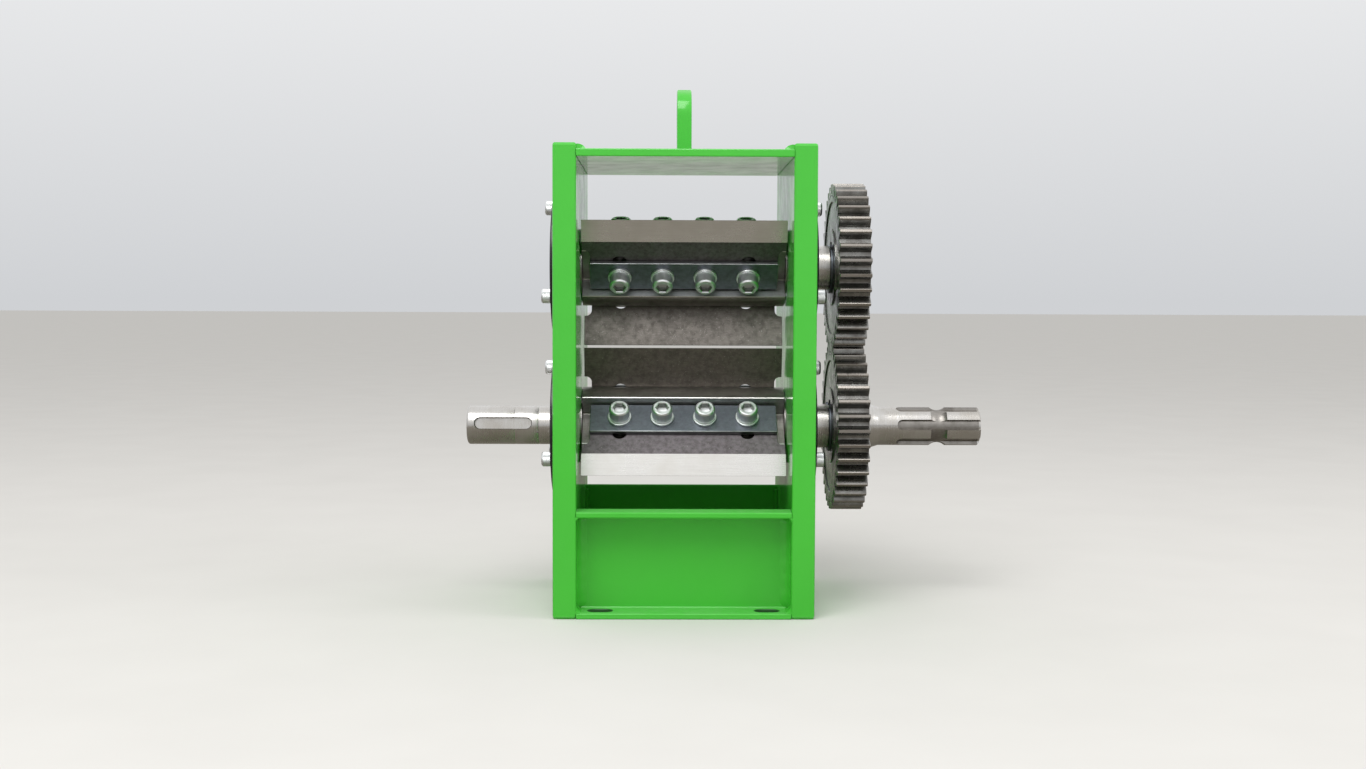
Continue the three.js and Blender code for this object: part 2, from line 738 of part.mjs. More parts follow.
const unit = new THREE.Group();
unit.position.y = plate_depth / 2 - slot_inset;
unit.add(
  frame_end('right', 0, seat_diameter, seat_diameter),
  frame_end('left', Math.PI, stub_diameter, 0),
  top_plate(), lifting_eye(), front_channel(), rear_angle(),
  rotor('lower', -1, lower_axis, lower_shaft(), lower_first_tooth),
  rotor('upper', 1, upper_axis, upper_shaft(), upper_first_tooth));

const cutting_unit = new THREE.Group();
cutting_unit.add(unit);

export default cutting_unit;
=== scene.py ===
import math

import bmesh
import bpy
from mathutils import Matrix, Vector
from mathutils.geometry import tessellate_polygon


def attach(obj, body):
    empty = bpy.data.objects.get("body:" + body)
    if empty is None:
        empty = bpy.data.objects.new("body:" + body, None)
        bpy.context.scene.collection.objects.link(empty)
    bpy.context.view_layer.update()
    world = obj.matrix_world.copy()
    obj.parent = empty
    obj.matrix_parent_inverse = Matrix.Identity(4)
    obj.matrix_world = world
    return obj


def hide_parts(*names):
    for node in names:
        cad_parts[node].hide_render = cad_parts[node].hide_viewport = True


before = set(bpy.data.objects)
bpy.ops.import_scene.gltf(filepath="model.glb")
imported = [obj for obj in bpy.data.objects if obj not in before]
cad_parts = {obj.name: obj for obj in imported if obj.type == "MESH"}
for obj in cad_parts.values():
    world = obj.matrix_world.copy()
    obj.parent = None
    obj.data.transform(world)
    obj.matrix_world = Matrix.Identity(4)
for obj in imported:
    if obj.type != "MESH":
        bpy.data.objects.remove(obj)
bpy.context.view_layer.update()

# The cutting unit of a twin-rotor wood chipper. Sizes are in millimetres until a piece is finished.
MM = 0.001
SHAFT_PLANE = 86.0  # from the front slots back to the plane of both shafts
AXES = {"lower": 158.5, "upper": 302.5}
HANDS = {"lower": -1, "upper": 1}
KNIFE_TURNS = {"lower": (225, 345, 105), "upper": (135, 255, 15)}

# Frame
PLATE_INNER, PLATE_OUTER, PLATE_TOP = 92.0, 112.0, 405.0
PLATE_CORNER, PLATE_EDGE = 2.2, 1.8
FRONT, BACK = -14.0, 186.0
BEARING_SEAT, LIP_BORE, LIP_END = 40.0, 33.0, 93.4
ROOF_TOP, ROOF_THICK = 400.0, 6.5
EYE_RADIUS, EYE_HOLE, EYE_HALF, EYE_MIDDLE = 25.0, 13.0, 6.5, 437.0
CHANNEL_HEIGHT, CHANNEL_BACK, CHANNEL_WALL, CHANNEL_BEND = 92.0, 16.0, 5.0, 7.0
ANGLE_FACE, ANGLE_HEIGHT, ANGLE_WALL, ANGLE_ROUND = 158.0, 95.0, 6.0, 4.0
SLOT_X, SLOT_LENGTH, SLOT_WIDTH = 72.0, 21.0, 13.0
FRONT_SLOTS, REAR_SLOTS = 0.0, 172.0
COVER_FACE, COVER_RADIUS, COVER_SCREW_CIRCLE, COVER_SCREWS = 117.0, 64.0, 53.0, 3
COVER_BORES = {("lower", "right"): 20.5, ("upper", "right"): 20.5, ("lower", "left"): 18.0, ("upper", "left"): 0}
SHIELD_IN, SHIELD_OUT, SHIELD_BORE, SHIELD_RIM = 94.4, 95.2, 26.4, 33.8

# Shafts and rotor bodies
BODY_RADIUS, BODY_HALF, POCKETS = 35.0, 91.0, 3
FLAT, POCKET_BACK, POCKET_ROUND = 13.0, 2.7, 1.5
COLLAR_END, COLLAR_RADIUS, CORE_RADIUS = 93.1, 24.0, 12.5
SEAT, STUB, STUB_START, STUB_END, STUB_LINES = 20.0, 17.5, -111.2, -195.5, (-152.2, -130.6)
KEYWAY_MIDDLE, KEYWAY_LENGTH, KEYWAY_WIDTH, KEYWAY_TURN = -162.5, 51.0, 10.0, 170.0
SPLINE, SPLINE_ROOT, SPLINE_TOOTH, SPLINE_START, SPLINE_END, SPLINE_TURN = 17.45, 14.8, 8.6, 164.4, 270.0, 172.0
UPPER_END = 166.5
RING_STATIONS = (131.95, 162.3)

# Knives, clamp bars and bolts
KNIFE_BASE, KNIFE_TOP, KNIFE_REACH = 13.3, 23.3, 69.67
KNIFE_HALF, HEEL_HALF, SHOULDER, SHOULDER_ROUND = 90.0, 83.5, 42.17, 5.0
KNIFE_SLOT_WIDTH, KNIFE_SLOT_START, KNIFE_SLOT_ENDS = 13.0, 7.0, (35.3, 26.5, 26.5, 35.3)
BEVEL, EDGE_LAND = 17.0, 0.4
CLAMP_BASE, CLAMP_TOP, CLAMP_BACK, CLAMP_FRONT, CLAMP_HOLE = 23.6, 27.6, -0.6, 30.4, 6.5
BOLT_LINE, BOLT_PITCH, BOLT_COUNT = 15.0, 38.0, 4
BOLT_PLACES = [(i - (BOLT_COUNT - 1) / 2) * BOLT_PITCH for i in range(BOLT_COUNT)]
WASHER_RADIUS, WASHER_HOLE, WASHER_TOP, HEAD_TOP = 10.5, 6.3, 30.1, 42.1

# Gears and what holds them
GEAR_IN, GEAR_OUT, TEETH, MODULE, PRESSURE_ANGLE = 134.0, 162.0, 36, 4.0, 20.0
PITCH_RADIUS, GEAR_ROOT, GEAR_TIP, GEAR_RIM = 72.0, 67.0, 76.0, 65.0
TOOTH_CHAMFER, BACKLASH = 0.4, 0.5
UPPER_FIRST_TOOTH = 176.0
FIRST_TOOTH = {"lower": -(UPPER_FIRST_TOOTH + 180 / TEETH), "upper": UPPER_FIRST_TOOTH}
GEAR_BORE, HUB_SLOT_HALF, HUB_SLOT_TOP = 20.3, 6.3, 23.3
KEY_HALF, KEY_BOTTOM, KEY_TOP, KEY_START, KEY_END = 6.0, 15.0, 23.0, 137.0, 159.0
HUB_RADIUS, RECESS_RADIUS, RECESS_DEPTH, FACE_GROOVE_DEPTH = 34.0, 60.0, 1.2, 1.9
RING_INNER, RING_THICK, RING_EYE, RING_EYE_CIRCLE = 19.05, 1.75, 1.1, 22.1
RING_GROOVE_DEPTH, RING_PLAY = 1.25, 0.3


# Shapes in millimetres
def polar(radius, turn, middle=(0.0, 0.0)):
    return Vector((middle[0] + radius * math.cos(turn), middle[1] + radius * math.sin(turn)))


def circle(radius, count, middle=(0.0, 0.0), hole=False):
    points = [polar(radius, 2 * math.pi * i / count, middle) for i in range(count)]
    return points[::-1] if hole else points


def arc(middle, radius, first, last, steps):
    return [polar(radius, math.radians(first + (last - first) * i / steps), middle) for i in range(steps + 1)]


def slot(middle, length, width, lean=0.0, hole=False):
    """A slot with round ends, its length at an angle in degrees."""
    reach, cap = (length - width) / 2, width / 2
    points = arc((reach, 0), cap, -90, 90, 14) + arc((-reach, 0), cap, 90, 270, 14)
    spin = Matrix.Rotation(math.radians(lean), 2)
    points = [spin @ p + Vector(middle) for p in points]
    return points[::-1] if hole else points


def outline_of(*places):
    return [Vector(place) for place in places]


def eased(outline, size, closed=True, least=25):
    """The same outline with a small flat on each corner that turns by more than the least angle."""
    points = []
    for i, corner in enumerate(outline):
        back, ahead = outline[i - 1] - corner, outline[(i + 1) % len(outline)] - corner
        at_end = not closed and i in (0, len(outline) - 1)
        if at_end or math.degrees(math.pi - back.angle(ahead)) < least:
            points.append(corner)
        else:
            points += [corner + side.normalized() * min(size, 0.4 * side.length) for side in (back, ahead)]
    return points


def inset(outline, distance):
    """Moves an outline into its material, which lies on its left."""
    moved_in = []
    for i, point in enumerate(outline):
        ahead = (outline[(i + 1) % len(outline)] - point).normalized()
        behind = (point - outline[i - 1]).normalized()
        left, left_behind = Vector((-ahead.y, ahead.x)), Vector((-behind.y, behind.x))
        moved_in.append(point + (left + left_behind) * distance / max(0.35, 1 + left.dot(left_behind)))
    return moved_in


def from_both_ends(steps, low, high):
    """Pairs of a size and its depth, measured from both ends of a height."""
    return [(size, low + depth) for size, depth in steps] + [(size, high - depth) for size, depth in reversed(steps)]


class Shell:
    """Loops of points joined by walls and closed by caps. Caps lie flat across its third axis."""

    def __init__(self):
        self.form = bmesh.new()

    def loop(self, outline, height):
        return [self.form.verts.new((p[0], p[1], height)) for p in outline]

    def points(self, places):
        return [self.form.verts.new(p) for p in places]

    def wall(self, low, high, closed=True, finish=0):
        count = len(low)
        for i in range(count if closed else count - 1):
            j = (i + 1) % count
            self.form.faces.new((low[i], low[j], high[j], high[i])).material_index = finish

    def walls(self, loops, closed=True, finish=0):
        for low, high in zip(loops, loops[1:]):
            self.wall(low, high, closed, finish)

    def tube(self, levels, finish=0):
        """Walls through outlines at their heights."""
        loops = [self.loop(outline, height) for outline, height in levels]
        self.walls(loops, finish=finish)
        return loops

    def cap(self, loops, finish=0):
        outlines = [[Vector((v.co.x, v.co.y, 0)) for v in loop] for loop in loops]
        corners = [v for loop in loops for v in loop]
        for triangle in tessellate_polygon(outlines):
            if len(set(triangle)) == 3:
                self.form.faces.new([corners[i] for i in triangle]).material_index = finish

    def fan(self, loop, tip, finish=0, closed=True):
        for i in range(len(loop) if closed else len(loop) - 1):
            self.form.faces.new((loop[i], loop[(i + 1) % len(loop)], tip)).material_index = finish

    def run(self, loops):
        """Walls along loops, with both ends closed from the first point of each."""
        self.walls(loops)
        for loop in (loops[0], loops[-1]):
            self.fan(loop[1:], loop[0], closed=False)


def prism(outer, holes, low, high, edge, edge_finish=0, side_finish=0, top_finish=0, steps=2):
    """An outline with holes, raised from one height to another, with eased edges all round."""
    shell = Shell()
    rims = [(edge * (1 - math.sin(a)), edge * (1 - math.cos(a)))
            for a in (math.pi / 2 * i / steps for i in range(steps + 1))]
    bottoms, tops = [], []
    for outline in [outer, *holes]:
        loops = [shell.loop(inset(outline, d), z) for d, z in from_both_ends(rims, low, high)]
        for i, (below, above) in enumerate(zip(loops, loops[1:])):
            shell.wall(below, above, finish=side_finish if i == steps else edge_finish)
        bottoms.append(loops[0])
        tops.append(loops[-1])
    shell.cap(bottoms)
    shell.cap(tops, top_finish)
    return shell.form


def turned(profile, count=96, ease=0.5, ring=False):
    """A body of revolution about X, from pairs of station and radius."""
    shell = Shell()
    loops = []
    for station, radius in eased(outline_of(*profile), ease, closed=ring):
        around = [(0, 0)] if radius < 1e-6 else circle(radius, count)
        loops.append(shell.points([(station, *p) for p in around]))
    for low, high in zip(loops, loops[1:] + loops[:1] if ring else loops[1:]):
        if len(low) == 1:
            shell.fan(high, low[0])
        elif len(high) == 1:
            shell.fan(low, high[0])
        else:
            shell.wall(low, high)
    return shell.form


def gathered(*forms):
    """Several forms as one."""
    whole = bmesh.new()
    for form in forms:
        part = bpy.data.meshes.new("part")
        form.to_mesh(part)
        whole.from_mesh(part)
        bpy.data.meshes.remove(part)
        form.free()
    return whole


def moved(form, place):
    form.transform(place)
    return form


ALONG_SHAFT = Matrix(((0, 0, 1, 0), (1, 0, 0, 0), (0, 1, 0, 0), (0, 0, 0, 1)))
STAND_OUT = Matrix.Rotation(math.pi / 2, 4, "Y")
MIRRORED = Matrix.Scale(-1, 4, (1, 0, 0))
FACING = {"right": Matrix.Identity(4), "left": Matrix.Rotation(math.pi, 4, "Z")}


def on_axis(level):
    return Matrix.Translation((0, SHAFT_PLANE, AXES[level]))


def on_seat(level, turn):
    """From a knife's seat, where X lies along the shaft, Y points to the edge and Z away from the shaft."""
    lean, hand = math.radians(turn), HANDS[level]
    tip = Vector((0, math.cos(lean), math.sin(lean)))
    out = Vector((0, -math.sin(lean), math.cos(lean))) * hand
    along = Vector((hand, 0, 0))
    return on_axis(level) @ Matrix((along, tip, out)).transposed().to_4x4()


def shaded(form):
    """Faces point outwards, and only edges that turn by less than 20 degrees are smooth."""
    bmesh.ops.recalc_face_normals(form, faces=form.faces)
    if all(edge.is_manifold for edge in form.edges) and form.calc_volume(signed=True) < 0:
        bmesh.ops.reverse_faces(form, faces=form.faces)
    for face in form.faces:
        face.smooth = True
    for edge in form.edges:
        edge.smooth = len(edge.link_faces) == 2 and edge.calc_face_angle(0) < math.radians(20)


def object_of(name, mesh):
    made = bpy.data.objects.new(name, mesh)
    bpy.context.scene.collection.objects.link(made)
    return made


def mesh_of(name, form, finishes, place=Matrix.Identity(4)):
    """A form in millimetres becomes a mesh in metres, in its place."""
    form.transform(Matrix.Scale(MM, 4) @ place)
    shaded(form)
    mesh = bpy.data.meshes.new(name)
    form.to_mesh(mesh)
    form.free()
    for finish in finishes:
        mesh.materials.append(finish)
    return mesh


def evaluated(name, source):
    """The plain mesh that an object's modifiers give. The object goes."""
    bpy.context.view_layer.update()
    depsgraph = bpy.context.evaluated_depsgraph_get()
    mesh = bpy.data.meshes.new_from_object(source.evaluated_get(depsgraph))
    mesh.name = name
    bpy.data.objects.remove(source)
    return mesh


def cut(form, *cutters):
    """A form less its cutters."""
    body, *tools = [object_of("solid", mesh_of("solid", solid, [], Matrix.Scale(1 / MM, 4)))
                    for solid in (form, *cutters)]
    for tool in tools:
        modifier = body.modifiers.new("cut", "BOOLEAN")
        modifier.operation = "DIFFERENCE"
        modifier.solver = "EXACT"
        modifier.object = tool
    mesh = evaluated("cut", body)
    dropped(*tools)
    result = bmesh.new()
    result.from_mesh(mesh)
    bpy.data.meshes.remove(mesh)
    return result


def dropped(*objects):
    for one in objects:
        bpy.data.objects.remove(one)


def dressed(name, mesh, body, slot_name, *nodes):
    """A finished piece rides on its body and stands for its solids."""
    made = object_of(name, mesh)
    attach(made, body)
    if nodes:
        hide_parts(*nodes)


def piece(name, form, finishes, body, slot_name, *nodes, place=Matrix.Identity(4)):
    dressed(name, mesh_of(name, form, finishes, place), body, slot_name, *nodes)


# Colours and nodes
def colour(hexadecimal):
    """An sRGB hex value as linear red, green, blue and alpha."""
    parts = [int(hexadecimal[i:i + 2], 16) / 255 for i in (1, 3, 5)]
    return tuple(c / 12.92 if c <= 0.04045 else ((c + 0.055) / 1.055) ** 2.4 for c in parts) + (1.0,)


def feed(tree, node, sockets):
    """Sets or links a node's inputs. A node given as a value stands for its live output, and hex for a colour."""
    for socket, value in sockets.items():
        if isinstance(value, bpy.types.Node):
            value = next(output for output in value.outputs if output.enabled)
        if isinstance(value, bpy.types.NodeSocket):
            tree.links.new(value, node.inputs[socket])
        else:
            node.inputs[socket].default_value = colour(value) if isinstance(value, str) else value


def add(tree, kind, sockets=None, **settings):
    """Adds a node with its settings, and sets or links its inputs."""
    made = tree.nodes.new(kind)
    for name, value in settings.items():
        setattr(made, name, value)
    feed(tree, made, sockets or {})
    return made


def stops(ramp, *marks):
    """Sets a colour ramp's places and colours."""
    elements = ramp.color_ramp.elements
    for element, (place, tone) in zip(elements, marks):
        element.position = place
        element.color = tone if isinstance(tone, tuple) else (tone, tone, tone, 1)
    return ramp


def new_finish(name):
    finish = bpy.data.materials.new(name)
    finish.use_nodes = True
    tree = finish.node_tree
    tree.nodes.clear()
    surface = add(tree, "ShaderNodeBsdfPrincipled")
    add(tree, "ShaderNodeOutputMaterial", {"Surface": surface})
    return finish, tree, surface, add(tree, "ShaderNodeTexCoord").outputs["Object"]


def per_mm(size):
    """Noise scale for features of a size in millimetres."""
    return 1 / (size * MM)


def gloss_enamel(name, paint, shade, dust, roughness):
    # Alkyd enamel sprayed thick over welded steel: wet gloss with a faint orange peel, and dust on its upper faces
    finish, tree, surface, place = new_finish(name)
    drift = add(tree, "ShaderNodeTexNoise", {"Vector": place, "Scale": per_mm(70), "Detail": 3.0})
    tone = add(tree, "ShaderNodeMix", {"Factor": drift, 6: paint, 7: shade}, data_type="RGBA")
    normal = add(tree, "ShaderNodeNewGeometry").outputs["Normal"]
    upward = add(tree, "ShaderNodeSeparateXYZ", {0: normal}).outputs["Z"]
    speck = add(tree, "ShaderNodeTexNoise", {"Vector": place, "Scale": per_mm(9), "Detail": 8.0, "Roughness": 0.7})
    settled = add(tree, "ShaderNodeMath", {0: upward, 1: speck}, operation="MULTIPLY")
    dusty = stops(add(tree, "ShaderNodeValToRGB", {"Fac": settled}), (0.30, 0.0), (0.70, 0.16))
    face = add(tree, "ShaderNodeMix", {"Factor": dusty, 6: tone, 7: dust}, data_type="RGBA")
    haze = add(tree, "ShaderNodeTexNoise", {"Vector": place, "Scale": per_mm(22), "Detail": 6.0})
    gloss = add(tree, "ShaderNodeMapRange", {"Value": haze, 1: 0.3, 2: 0.7, 3: roughness, 4: roughness + 0.1})
    # The dust takes the shine from what lies flat
    dull = add(tree, "ShaderNodeMapRange", {"Value": upward, 1: 0.9, 2: 1.0, 3: 0.0, 4: 0.75})
    matt = add(tree, "ShaderNodeMath", {0: dull, 1: gloss}, operation="ADD")
    # Orange peel is about 1.5 mm across on sprayed enamel, drawn at 3 mm so that it shows
    peel = add(tree, "ShaderNodeTexNoise", {"Vector": place, "Scale": per_mm(3), "Detail": 1.0})
    ripple = add(tree, "ShaderNodeTexNoise", {"Vector": place, "Scale": per_mm(26), "Detail": 1.0})
    height = add(tree, "ShaderNodeMath", {0: ripple, 1: 3.0, 2: peel}, operation="MULTIPLY_ADD")
    bump = add(tree, "ShaderNodeBump", {"Height": height, "Strength": 0.12, "Distance": 0.4 * MM})
    feed(tree, surface, {"Base Color": face, "Roughness": matt, "Normal": bump})
    return finish


def worked_steel(name, bright, dull, stain, roughness, spread, lines, line_depth, blotch, blotch_share,
                 speck=None, speck_size=2.0):
    """Bare or oxidised steel: tool marks stretched along the lines given in millimetres, blotches and specks."""
    finish, tree, surface, place = new_finish(name)
    scaled = add(tree, "ShaderNodeMapping", {"Vector": place, "Scale": [per_mm(size) for size in lines]})
    marks = add(tree, "ShaderNodeTexNoise", {"Vector": scaled, "Scale": 1.0, "Detail": 4.0, "Roughness": 0.6})
    tone = add(tree, "ShaderNodeMix", {"Factor": marks, 6: dull, 7: bright}, data_type="RGBA")
    cloud = add(tree, "ShaderNodeTexNoise", {"Vector": place, "Scale": per_mm(blotch), "Detail": 7.0,
                                             "Roughness": 0.62})
    soil = stops(add(tree, "ShaderNodeValToRGB", {"Fac": cloud}), (0.42, 0.0), (0.68, blotch_share))
    face = add(tree, "ShaderNodeMix", {"Factor": soil, 6: tone, 7: stain}, data_type="RGBA")
    if speck:
        grain = add(tree, "ShaderNodeTexNoise", {"Vector": place, "Scale": per_mm(speck_size), "Detail": 3.0,
                                                 "Roughness": 0.75})
        spots = stops(add(tree, "ShaderNodeValToRGB", {"Fac": grain}), (0.64, 0.0), (0.72, 0.9))
        face = add(tree, "ShaderNodeMix", {"Factor": spots, 6: face, 7: speck}, data_type="RGBA")
    dullness = add(tree, "ShaderNodeMath", {0: marks, 1: 0.6, 2: cloud}, operation="MULTIPLY_ADD")
    rough = add(tree, "ShaderNodeMapRange", {"Value": dullness, 1: 0.55, 2: 1.05,
                                             3: roughness, 4: roughness + spread})
    bump = add(tree, "ShaderNodeBump", {"Height": marks, "Strength": 0.35, "Distance": line_depth * MM})
    feed(tree, surface, {"Metallic": 1.0, "Base Color": face, "Roughness": rough, "Normal": bump})
    return finish


def oiled_gear_steel(name):
    # Hobbed gear steel under dark oil: rings from the lathe on its faces, and tooth tips paler and brownish, partly
    # rubbed bright and partly a painted highlight along the crests
    finish, tree, surface, place = new_finish(name)
    parts = add(tree, "ShaderNodeSeparateXYZ", {0: place})
    middle = (AXES["lower"] + AXES["upper"]) / 2 * MM
    half = (AXES["upper"] - AXES["lower"]) / 2 * MM
    # Folding the height about the middle between the shafts gives both gears their own distance from the axis
    lift = add(tree, "ShaderNodeMath", {0: parts.outputs["Z"], 1: middle}, operation="SUBTRACT")
    folded = add(tree, "ShaderNodeMath", {0: lift}, operation="ABSOLUTE")
    drop = add(tree, "ShaderNodeMath", {0: folded, 1: half}, operation="SUBTRACT")
    side = add(tree, "ShaderNodeMath", {0: parts.outputs["Y"], 1: SHAFT_PLANE * MM}, operation="SUBTRACT")
    radial = add(tree, "ShaderNodeCombineXYZ", {"X": side, "Y": drop})
    radius = add(tree, "ShaderNodeVectorMath", {0: radial}, operation="LENGTH")
    # Lathe feed is about 0.2 mm, drawn at 0.8 mm so that the rings show
    turns = add(tree, "ShaderNodeTexNoise", {"W": radius, "Scale": per_mm(0.8), "Detail": 3.0},
                noise_dimensions="1D")
    oil = add(tree, "ShaderNodeTexNoise", {"Vector": place, "Scale": per_mm(12), "Detail": 7.0, "Roughness": 0.65})
    film = stops(add(tree, "ShaderNodeValToRGB", {"Fac": oil}), (0.40, 0.0), (0.70, 0.75))
    ringed = add(tree, "ShaderNodeMix", {"Factor": turns, 6: "#767572", 7: "#AAAAA7"}, data_type="RGBA")
    oiled = add(tree, "ShaderNodeMix", {"Factor": film, 6: ringed, 7: "#4B4641"}, data_type="RGBA")
    # Paler tooth tips: partly rubbed steel, partly a painted highlight along the crests
    tip = add(tree, "ShaderNodeMapRange", {"Value": radius, 1: (GEAR_TIP - 1.0) * MM, 2: (GEAR_TIP - 0.3) * MM})
    tip_wear_and_highlight_share = add(tree, "ShaderNodeMath", {0: tip, 1: 0.75}, operation="MULTIPLY")
    tips_worn_and_lit = add(tree, "ShaderNodeMix", {"Factor": tip_wear_and_highlight_share, 6: oiled, 7: "#A39C94"}, data_type="RGBA")
    rough = add(tree, "ShaderNodeMapRange", {"Value": oil, 1: 0.3, 2: 0.7, 3: 0.2, 4: 0.38})
    bump = add(tree, "ShaderNodeBump", {"Height": turns, "Strength": 0.25, "Distance": 0.06 * MM})
    feed(tree, surface, {"Metallic": 1.0, "Coat Weight": 0.25, "Coat Roughness": 0.15,
                         "Base Color": tips_worn_and_lit, "Roughness": rough, "Normal": bump})
    return finish


# Gloss enamel: green on the welded frame, black on the bearing covers
green_enamel = gloss_enamel("green_gloss_enamel", "#4AC13C", "#43B736", "#A9C79E", 0.12)
black_enamel = gloss_enamel("black_gloss_enamel", "#141618", "#1B1D1F", "#5C5F5E", 0.22)
# Dark green enamel on the walls of the fixing slots: a painted shade for the shadow inside them
slot_shade_enamel = gloss_enamel("slot_wall_painted_shade_enamel", "#1F5C22", "#194C1C", "#246528", 0.35)
# Turned carbon steel: fine rings round the shaft, bright with a little handling grime
turned_steel = worked_steel("turned_carbon_steel", "#D9D8D6", "#C3C0BC", "#9A907F", 0.18, 0.12,
                            (0.5, 60, 60), 0.012, 30, 0.4)
# Milled carbon steel: the rotor body, darker, with oil and cutter marks along it
milled_steel = worked_steel("milled_carbon_steel", "#B2AEA9", "#8C8883", "#5C5751", 0.28, 0.2,
                            (40, 1.2, 1.2), 0.04, 18, 0.6)
# Pocket walls: milled steel painted paler and cooler, a painted light for the light that the pocket walls catch
pocket_wall_painted_light = worked_steel("bright_milled_steel", "#E4E6E6", "#C6C9C9", "#989896", 0.40, 0.18,
                           (30, 1.0, 1.0), 0.03, 10, 0.5)
# Hardened tool steel as it left the furnace: dark brown-grey scale, blotched and finely speckled. On the shaft it
# darkens the keyway's rim as a painted shade
hardened_steel_and_keyway_shade = worked_steel("hardened_tool_steel_and_keyway_shade", "#85807B", "#645F5A", "#4E4945", 0.34, 0.16,
                              (6, 1.0, 1.0), 0.05, 5, 0.55, speck="#C9C6C1", speck_size=1.1)
# Blasted tool steel: the outer face of a knife, paler, with the same fine speckle
blasted_steel = worked_steel("blasted_tool_steel", "#898287", "#655F62", "#504B4A", 0.46, 0.14,
                             (2, 0.9, 0.9), 0.05, 4, 0.6, speck="#C9C6C1", speck_size=1.0)
# Ground tool steel: the bevels, and the edges of the pockets, where its pale colour is partly rubbed steel and partly a
# painted highlight; with fine scratches along the edge
ground_steel_and_edge_highlight = worked_steel("ground_tool_steel_and_edge_highlight", "#E6E5E2", "#D2D0CC", "#B6B0A6", 0.24, 0.1,
                            (30, 0.5, 0.5), 0.02, 30, 0.3)
# Black oxide on mild steel: blue-grey bars with pale worn edges
black_oxide = worked_steel("black_oxide_steel", "#7E848C", "#666A72", "#4D5055", 0.30, 0.16,
                           (4, 1.2, 1.2), 0.03, 6, 0.5)
worn_oxide = worked_steel("worn_black_oxide", "#A5A8A8", "#85898A", "#5F6264", 0.28, 0.16,
                          (16, 1, 1), 0.03, 10, 0.5)
# Bright zinc plate on forged bolts: cool, clean and even
bright_zinc = worked_steel("bright_zinc_plate", "#F0F2F2", "#DDE0E1", "#BFC2C3", 0.30, 0.12,
                           (3, 3, 3), 0.015, 8, 0.3)
# Walls of the sockets, darker grey-green and half dull: a painted shade inside the hexagon sockets, so that they stand
# out from their bright floors
socket_shade_steel = worked_steel("socket_steel_painted_shade", "#B0B4AE", "#8A8E88", "#5A5E58", 0.20, 0.2,
                            (2, 2, 2), 0.02, 4, 0.5)
# Ground bearing steel: rings and pressed shields
bearing_steel = worked_steel("ground_bearing_steel", "#C4C8CC", "#A9ADB1", "#8B8E90", 0.16, 0.1,
                             (0.8, 40, 40), 0.01, 20, 0.3)
gear_steel = oiled_gear_steel("oiled_gear_steel")


# Geometry Nodes: rows of fasteners or teeth round a shaft, and beads of weld
def tree_with_inputs(name, inputs):
    tree = bpy.data.node_groups.new(name, "GeometryNodeTree")
    sockets = {key: tree.interface.new_socket(key, in_out="INPUT", socket_type="NodeSocket" + kind)
               for key, kind in inputs.items()}
    tree.interface.new_socket("Geometry", in_out="OUTPUT", socket_type="NodeSocketGeometry")
    return tree, {key: socket.identifier for key, socket in sockets.items()}, add(tree, "NodeGroupInput").outputs


def closed_tree(tree, geometry, *finishes):
    """Every tree ends in real geometry with its finishes, by the kind of face."""
    real = add(tree, "GeometryNodeRealizeInstances", {"Geometry": geometry})
    last = add(tree, "GeometryNodeMergeByDistance", {"Geometry": real, "Distance": 0.002 * MM})
    kind = add(tree, "GeometryNodeInputMaterialIndex")
    for index, finish in enumerate(finishes):
        chosen = add(tree, "FunctionNodeCompare", {2: kind, 3: index}, data_type="INT", operation="EQUAL")
        last = add(tree, "GeometryNodeSetMaterial", {"Geometry": last, "Selection": chosen, "Material": finish})
    add(tree, "NodeGroupOutput", {0: last})


def rows_round_axis():
    """Rows of copies along a shaft, turned to its seats. Mirrored rows start from the other end."""
    tree, names, given = tree_with_inputs("rows_round_an_axis", {
        "Copy": "Object", "Finish": "Material", "Recess shade finish": "Material", "In a row": "Int", "Pitch": "Float",
        "Line": "Float", "Rows": "Int", "First turn": "Float", "Mirrored": "Float", "Axis depth": "Float",
        "Axis height": "Float"})
    gaps = add(tree, "ShaderNodeMath", {0: given["In a row"], 1: 1.0}, operation="SUBTRACT")
    span = add(tree, "ShaderNodeMath", {0: gaps, 1: given["Pitch"]}, operation="MULTIPLY")
    start = add(tree, "ShaderNodeMath", {0: span, 1: -0.5}, operation="MULTIPLY")
    line = add(tree, "GeometryNodeMeshLine", {
        "Count": given["In a row"],
        "Start Location": add(tree, "ShaderNodeCombineXYZ", {"X": start, "Y": given["Line"]}),
        "Offset": add(tree, "ShaderNodeCombineXYZ", {"X": given["Pitch"]})})
    one = add(tree, "GeometryNodeObjectInfo", {"Object": given["Copy"]}).outputs["Geometry"]
    row = add(tree, "GeometryNodeInstanceOnPoints", {"Points": line, "Instance": one})
    half_turn = add(tree, "ShaderNodeMath", {0: given["Mirrored"], 1: math.pi}, operation="MULTIPLY")
    handed = add(tree, "GeometryNodeTransform", {
        "Geometry": row, "Rotation": add(tree, "ShaderNodeCombineXYZ", {"Z": half_turn})})
    seats = add(tree, "GeometryNodeMeshLine", {"Count": given["Rows"], "Offset": (0, 0, 0)})
    step = add(tree, "ShaderNodeMath", {0: 2 * math.pi, 1: given["Rows"]}, operation="DIVIDE")
    turn = add(tree, "ShaderNodeMath", {0: add(tree, "GeometryNodeInputIndex"), 1: step, 2: given["First turn"]},
               operation="MULTIPLY_ADD")
    lean = add(tree, "ShaderNodeMath", {0: turn, 1: half_turn}, operation="SUBTRACT")
    around = add(tree, "GeometryNodeInstanceOnPoints", {
        "Points": seats, "Instance": handed, "Rotation": add(tree, "ShaderNodeCombineXYZ", {"X": lean})})
    axis = add(tree, "ShaderNodeCombineXYZ", {"Y": given["Axis depth"], "Z": given["Axis height"]})
    placed = add(tree, "GeometryNodeTransform", {"Geometry": around, "Translation": axis})
    closed_tree(tree, placed, given["Finish"], given["Recess shade finish"])
    return tree, names


